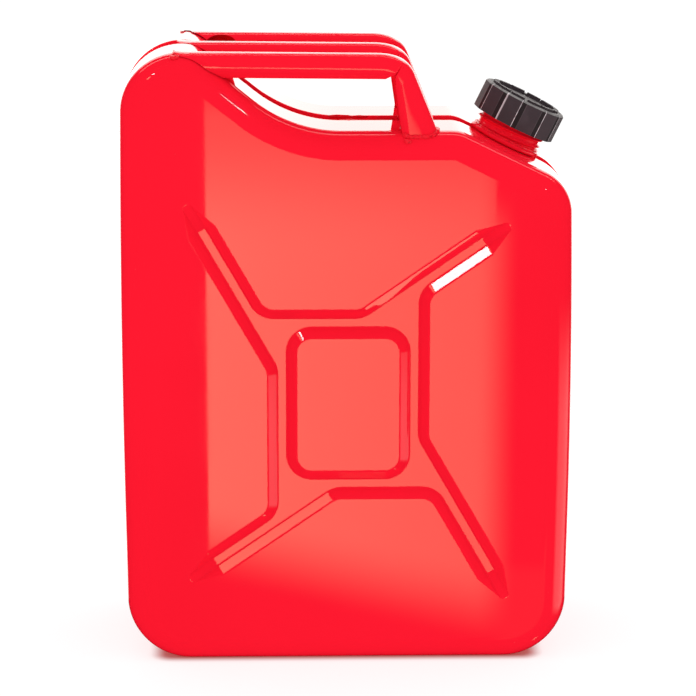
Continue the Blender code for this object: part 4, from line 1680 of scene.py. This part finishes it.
    def build(self) -> None:
        """Build and dress all the welds as one piece."""
        spacing = self.handles.spacing()
        parts = []
        for y in (-spacing, 0.0, spacing):
            parts += self.foot(y) + (self.tip(y) if y <= 0 else [])
        wall, low = self.form.groove_width / 2, self.form.floor - self.groove_lump_sink
        for x, side, long, high in self.groove_lumps:
            size = Vector((long, self.groove_lump_width, high)) * MM
            parts.append(self.lump(Vector((x * MM, side * wall, low)), size))
        spot, size = self.foot_lump
        parts += [self.lump(Vector(spot) * MM, Vector(size) * MM), self.neck_ring()]
        neck = self.form.neck_matrix()
        for spot, size in self.neck_lumps:
            parts.append(self.lump(neck @ (Vector(spot) * MM), Vector(size) * MM))
        Bench.take(parts[0])
        for part in parts:
            part.select_set(True)
        bpy.ops.object.join()
        welds = bpy.context.active_object
        welds.name = "handle_welds"
        Bench.smooth(welds, self.crisp_angle)
        Bench.finish(welds, WeldEnamel(), Body.CAN, "weld_paint")


# Neck and cap, modelled in the neck's own frame

@dataclass
class Neck:
    """Threaded neck in its collar, with the air pipe inside."""

    form: CanForm
    above: float = 32.5 * MM
    low: float = 6.0 * MM
    crest: float = 27.7 * MM
    pitch: float = 5.2 * MM
    half: float = 1.9 * MM
    root_sink: float = 0.25 * MM
    heel_sink: float = 0.6 * MM
    ridge_power: float = 0.8
    ridge_steps: int = 10
    run_out: int = 22
    turn_steps: int = 72
    top_clear: float = 1 * MM
    first_turn: float = 0.5
    crisp_angle: float = 50

    def thread(self) -> bpy.types.Object:
        """Rounded helical ridge with tapered ends.

        Returns:
            The ridge, upright round the Z axis.
        """
        root, high = self.form.neck_radius, self.above - self.half - self.top_clear
        turns = (high - self.low) / self.pitch
        count = int(turns * self.turn_steps)
        rings = []
        for step in range(count + 1):
            part = step / count
            angle = 2 * math.pi * (turns * part + self.first_turn)
            middle = self.low + (high - self.low) * part
            taper = min(1.0, step / self.run_out, (count - step) / self.run_out)
            taper = taper * taper * (3 - 2 * taper)
            ring = []
            for k in range(self.ridge_steps + 1):
                across = 2 * k / self.ridge_steps - 1
                rise = (0.5 + 0.5 * math.cos(math.pi * across)) ** self.ridge_power
                reach = root + (self.crest - root) * rise * taper - self.root_sink * (1 - rise)
                ring.append((reach, middle + across * self.half))
            ring.append((root - self.heel_sink, middle))
            rings.append([(r * math.cos(angle), r * math.sin(angle), z) for r, z in ring])
        return solid("neck_thread", rings)

    def build(self) -> None:
        """Build and dress the neck's pieces."""
        spout = Bench.copy_node("neck_tube", "neck_spout")
        collar = Bench.copy_node("neck_ring", "neck_collar")
        pipe = Bench.copy_node("air_pipe", "breather_tube", dissolve=0.01)
        thread = self.thread()
        thread.data.transform(self.form.neck_matrix())
        for piece, look, slot, nodes in (
            (spout, RedEnamel(), "red_paint", ["neck_spout"]),
            (collar, RedEnamel(), "red_paint", ["neck_collar"]),
            (pipe, BareSteel(), "bare_steel", ["breather_tube"]),
            (thread, RedEnamel(), "red_paint", []),
        ):
            Bench.smooth(piece, self.crisp_angle)
            Bench.finish(piece, look, Body.CAN, slot, *nodes)


@dataclass
class Cap:
    """Twelve sided screw cap with its gasket."""

    form: CanForm
    edge: float = 0.32 * MM
    edge_angle: float = math.radians(9)
    gasket_edge: float = 0.3 * MM
    gasket_edge_angle: float = math.radians(30)
    crisp_angle: float = 25
    gasket_crisp_angle: float = 40

    @staticmethod
    def soften(piece: bpy.types.Object, width: float, angle: float) -> None:
        """Round the edges that are sharper than an angle."""
        Bench.apply(piece, "BEVEL", width=width, segments=2, limit_method="ANGLE", angle_limit=angle)

    def build(self) -> None:
        """Build and dress the cap and its gasket."""
        cap = Bench.copy_node("cap_body", "screw_cap", dissolve=0.2)
        self.soften(cap, self.edge, self.edge_angle)
        Bench.smooth(cap, self.crisp_angle)
        plastic = CapPlastic(self.form.neck_matrix())
        Bench.finish(cap, plastic, Body.CAP, "cap_plastic", "screw_cap")
        gasket = Bench.copy_node("sealing_ring", "cap_gasket")
        self.soften(gasket, self.gasket_edge, self.gasket_edge_angle)
        Bench.smooth(gasket, self.gasket_crisp_angle)
        Bench.finish(gasket, GasketRubber(), Body.CARRIER, "gasket_rubber", "cap_gasket")


# Studio, whose lights only the gloss of the can shows

@dataclass(frozen=True)
class View:
    """Direction that is looked along in the world, whole and as three numbers."""

    tree: NodeTree
    way: bpy.types.NodeSocket
    x: Value
    y: Value
    z: Value


@dataclass(frozen=True)
class Backdrop:
    """Bright backdrop behind the can, dimmer to its sides, with a thin strip of light above it."""

    colour: Colour = (1, 0.965, 0.925)
    level: float = 2.2
    near: Edge = (0.74, 0.80)
    foot: Edge = (-0.335, -0.30)
    left: Edge = (-0.60, -0.30)
    right: Edge = (0.30, 0.60)
    right_level: float = 0.30
    strip: Band = (0.455, 0.465, 0.535, 0.545)
    strip_foot: Edge = (0.5, 0.6)

    def light(self, view: View) -> bpy.types.NodeSocket:
        """Light of the backdrop and its strip.

        Args:
            view: Direction that is looked along.

        Returns:
            The colour seen there.
        """
        sides = view.x.over(*self.right, 1.0, self.right_level) * view.x.over(*self.left)
        wall = view.y.over(*self.near) * view.z.over(*self.foot) * sides
        strip = view.y.band(*self.strip) * view.z.over(*self.strip_foot)
        return view.tree.tint(self.colour, (wall + strip) * self.level)


@dataclass(frozen=True)
class Card:
    """Lit card in front of the can, with a crisp left edge and soft other edges, and a dim patch beside it.

    Its places are slopes: how far right or up a direction goes for each metre towards the camera.
    """

    colour: Colour = (1.0, 1.0, 0.62)
    level: float = 3.35
    nearest: float = 0.05
    front: Edge = (-0.3, -0.1)
    sides: Band = (-0.0274, -0.0270, 0.069, 0.085)
    fall: float = 3.3
    foot: Edge = (-0.3285, -0.2965)
    foot_lean: float = 0.25
    foot_middle: float = -0.02
    fade: Edge = (-0.205, -0.150)
    fade_level: float = 0.42
    top: Edge = (-0.156, -0.142)
    crisp_foot: Edge = (-0.200, -0.180)
    crisp_side: Edge = (0.0758, 0.0764)
    patch_sides: Band = (0.075, 0.085, 0.25, 0.35)
    patch_heights: Band = (-0.6, -0.5, -0.326, -0.318)
    patch_level: float = 0.15

    def light(self, view: View) -> bpy.types.NodeSocket:
        """Light of the card and its patch.

        Args:
            view: Direction that is looked along.

        Returns:
            The colour seen there.
        """
        ahead = view.tree.math("MAXIMUM", -view.y, self.nearest)
        across, up = view.x / ahead, view.z / ahead
        crisp = 1 - up.over(*self.crisp_foot) * across.over(*self.crisp_side)
        foot = (up + (across - self.foot_middle) * self.foot_lean).over(*self.foot)
        mask = across.band(*self.sides) * crisp * foot * up.over(*self.fade, 1.0, self.fade_level)
        mask = mask * up.over(*self.top, 1.0, 0.0) * view.y.over(*self.front, 1.0, 0.0)
        patch = across.band(*self.patch_sides) * up.band(*self.patch_heights) * self.patch_level
        fall = 1 - (across - self.sides[1]) * self.fall
        return view.tree.tint(self.colour, mask * fall * self.level + patch)


@dataclass(frozen=True)
class SideWall:
    """Low pale wall on the right."""

    colour: Colour = (1.0, 0.98, 0.9)
    level: float = 1.3
    side: Edge = (0.75, 0.9)
    top: Edge = (-0.20, -0.26)
    foot: Edge = (-0.6, -0.4)

    def light(self, view: View) -> bpy.types.NodeSocket:
        """Light of the wall, by the direction that is looked along."""
        mask = view.x.over(*self.side) * view.z.over(*self.top) * view.z.over(*self.foot)
        return view.tree.tint(self.colour, mask * self.level)


@dataclass(frozen=True)
class Lamp:
    """Round lamp, with its radius in degrees and its brightness in its colour."""

    aim: Point
    radius: float
    colour: Colour
    soft: float = 0.1

    def light(self, view: View) -> bpy.types.NodeSocket:
        """Light of the lamp.

        Args:
            view: Direction that is looked along.

        Returns:
            The colour seen there.
        """
        sockets = {0: view.way, 1: Vector(self.aim).normalized()}
        near = view.tree.add("ShaderNodeVectorMath", {"operation": "DOT_PRODUCT"}, sockets).outputs["Value"]
        edges = [math.cos(math.radians(self.radius * share)) for share in (1 + self.soft, 1 - self.soft)]
        return view.tree.tint(self.colour, Value(view.tree, near).over(*edges))


@dataclass
class Studio:
    """Pale floor, white surround and camera."""

    elevation: float = math.radians(13.4283)
    azimuth: float = math.radians(-1.3419)
    roll: float = math.radians(0.056)
    distance: float = 2280.915 * MM
    target: Vector = field(default_factory=lambda: Vector((2.214, 0, 235.082)) * MM)
    focal_pixels: float = 2864.49
    picture: float = 696.0
    sensor: float = 36.0
    floor_size: float = 14.0
    level: float = 1.10
    lamps: tuple[Lamp, ...] = (
        # On the lower wall of the upper right arm and on the island's corner.
        Lamp((-0.554, -0.469, 0.693), 2.2, (24, 24, 24)),
        # The streak where the notch starts.
        Lamp((0.5736, -0.576, 0.5825), 0.75, (55, 55, 55)),
        # On the lower wall of the lower left arm.
        Lamp((-0.632, -0.493, 0.598), 3.3, (3.2, 3.2, 2.0)),
        # On the upper wall of the upper right arm.
        Lamp((0.505, -0.081, -0.859), 2.6, (2.9, 2.9, 1.9)),
    )

    def camera(self) -> None:
        """Place the camera at the photograph's viewing angle."""
        a, e, r = self.azimuth, self.elevation, self.roll
        forward = Vector((-math.sin(a) * math.cos(e), math.cos(a) * math.cos(e), -math.sin(e)))
        right = forward.cross(Vector((0, 0, 1))).normalized()
        up = right.cross(forward)
        across = right * math.cos(r) + up * math.sin(r)
        upward = up * math.cos(r) - right * math.sin(r)
        data = bpy.data.cameras.new("camera")
        data.sensor_width = self.sensor
        data.lens = self.focal_pixels / self.picture * self.sensor
        camera = bpy.data.objects.new("camera", data)
        bpy.context.scene.collection.objects.link(camera)
        matrix = Matrix((across, upward, -forward)).transposed().to_4x4()
        matrix.translation = self.target - forward * self.distance
        camera.matrix_world = matrix
        bpy.context.scene.camera = camera

    def floor(self) -> None:
        """Lay the floor, which the gloss doesn't show."""
        floor = Bench.primitive("floor", bpy.ops.mesh.primitive_plane_add, size=self.floor_size)
        floor.data.materials.append(FloorPaint().material("floor"))
        floor.visible_glossy = False

    def world(self) -> None:
        """Surround: white to the camera, the lights to the gloss, and one soft level to the rest."""
        world = bpy.data.worlds.new("studio")
        world.use_nodes = True
        world.cycles.sampling_method = "NONE"
        bpy.context.scene.world = world
        tree = NodeTree(world.node_tree)
        way = tree.add("ShaderNodeTexCoord").outputs["Generated"]
        parts = tree.add("ShaderNodeSeparateXYZ", None, {0: way})
        view = View(tree, way, *(Value(tree, parts.outputs[name]) for name in "XYZ"))
        gloss = tree.together(*(light.light(view) for light in (Backdrop(), Card(), SideWall(), *self.lamps)))
        ray = tree.add("ShaderNodeLightPath")
        level = tree.mix(ray.outputs["Is Camera Ray"], (self.level,) * 3, (1, 1, 1))
        seen = tree.mix(ray.outputs["Is Glossy Ray"], level, gloss)
        tree.feed(world.node_tree.nodes["Background"].inputs["Color"], seen)

    def build(self) -> None:
        """Build the floor, the surround and the camera."""
        self.camera()
        self.floor()
        self.world()
        bpy.context.scene.view_settings.view_transform = "Standard"


def main() -> None:
    """Build every sub-assembly in order."""
    logging.basicConfig(level=logging.INFO, format="%(message)s")
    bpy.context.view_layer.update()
    form = CanForm()
    Studio().build()
    shell = PressedShell(form)
    shell.build()
    handles = HandleSet(form)
    handles.build()
    Welds(form, handles, shell.halves).build()
    Neck(form).build()
    Cap(form).build()


if __name__ == "__main__":
    main()
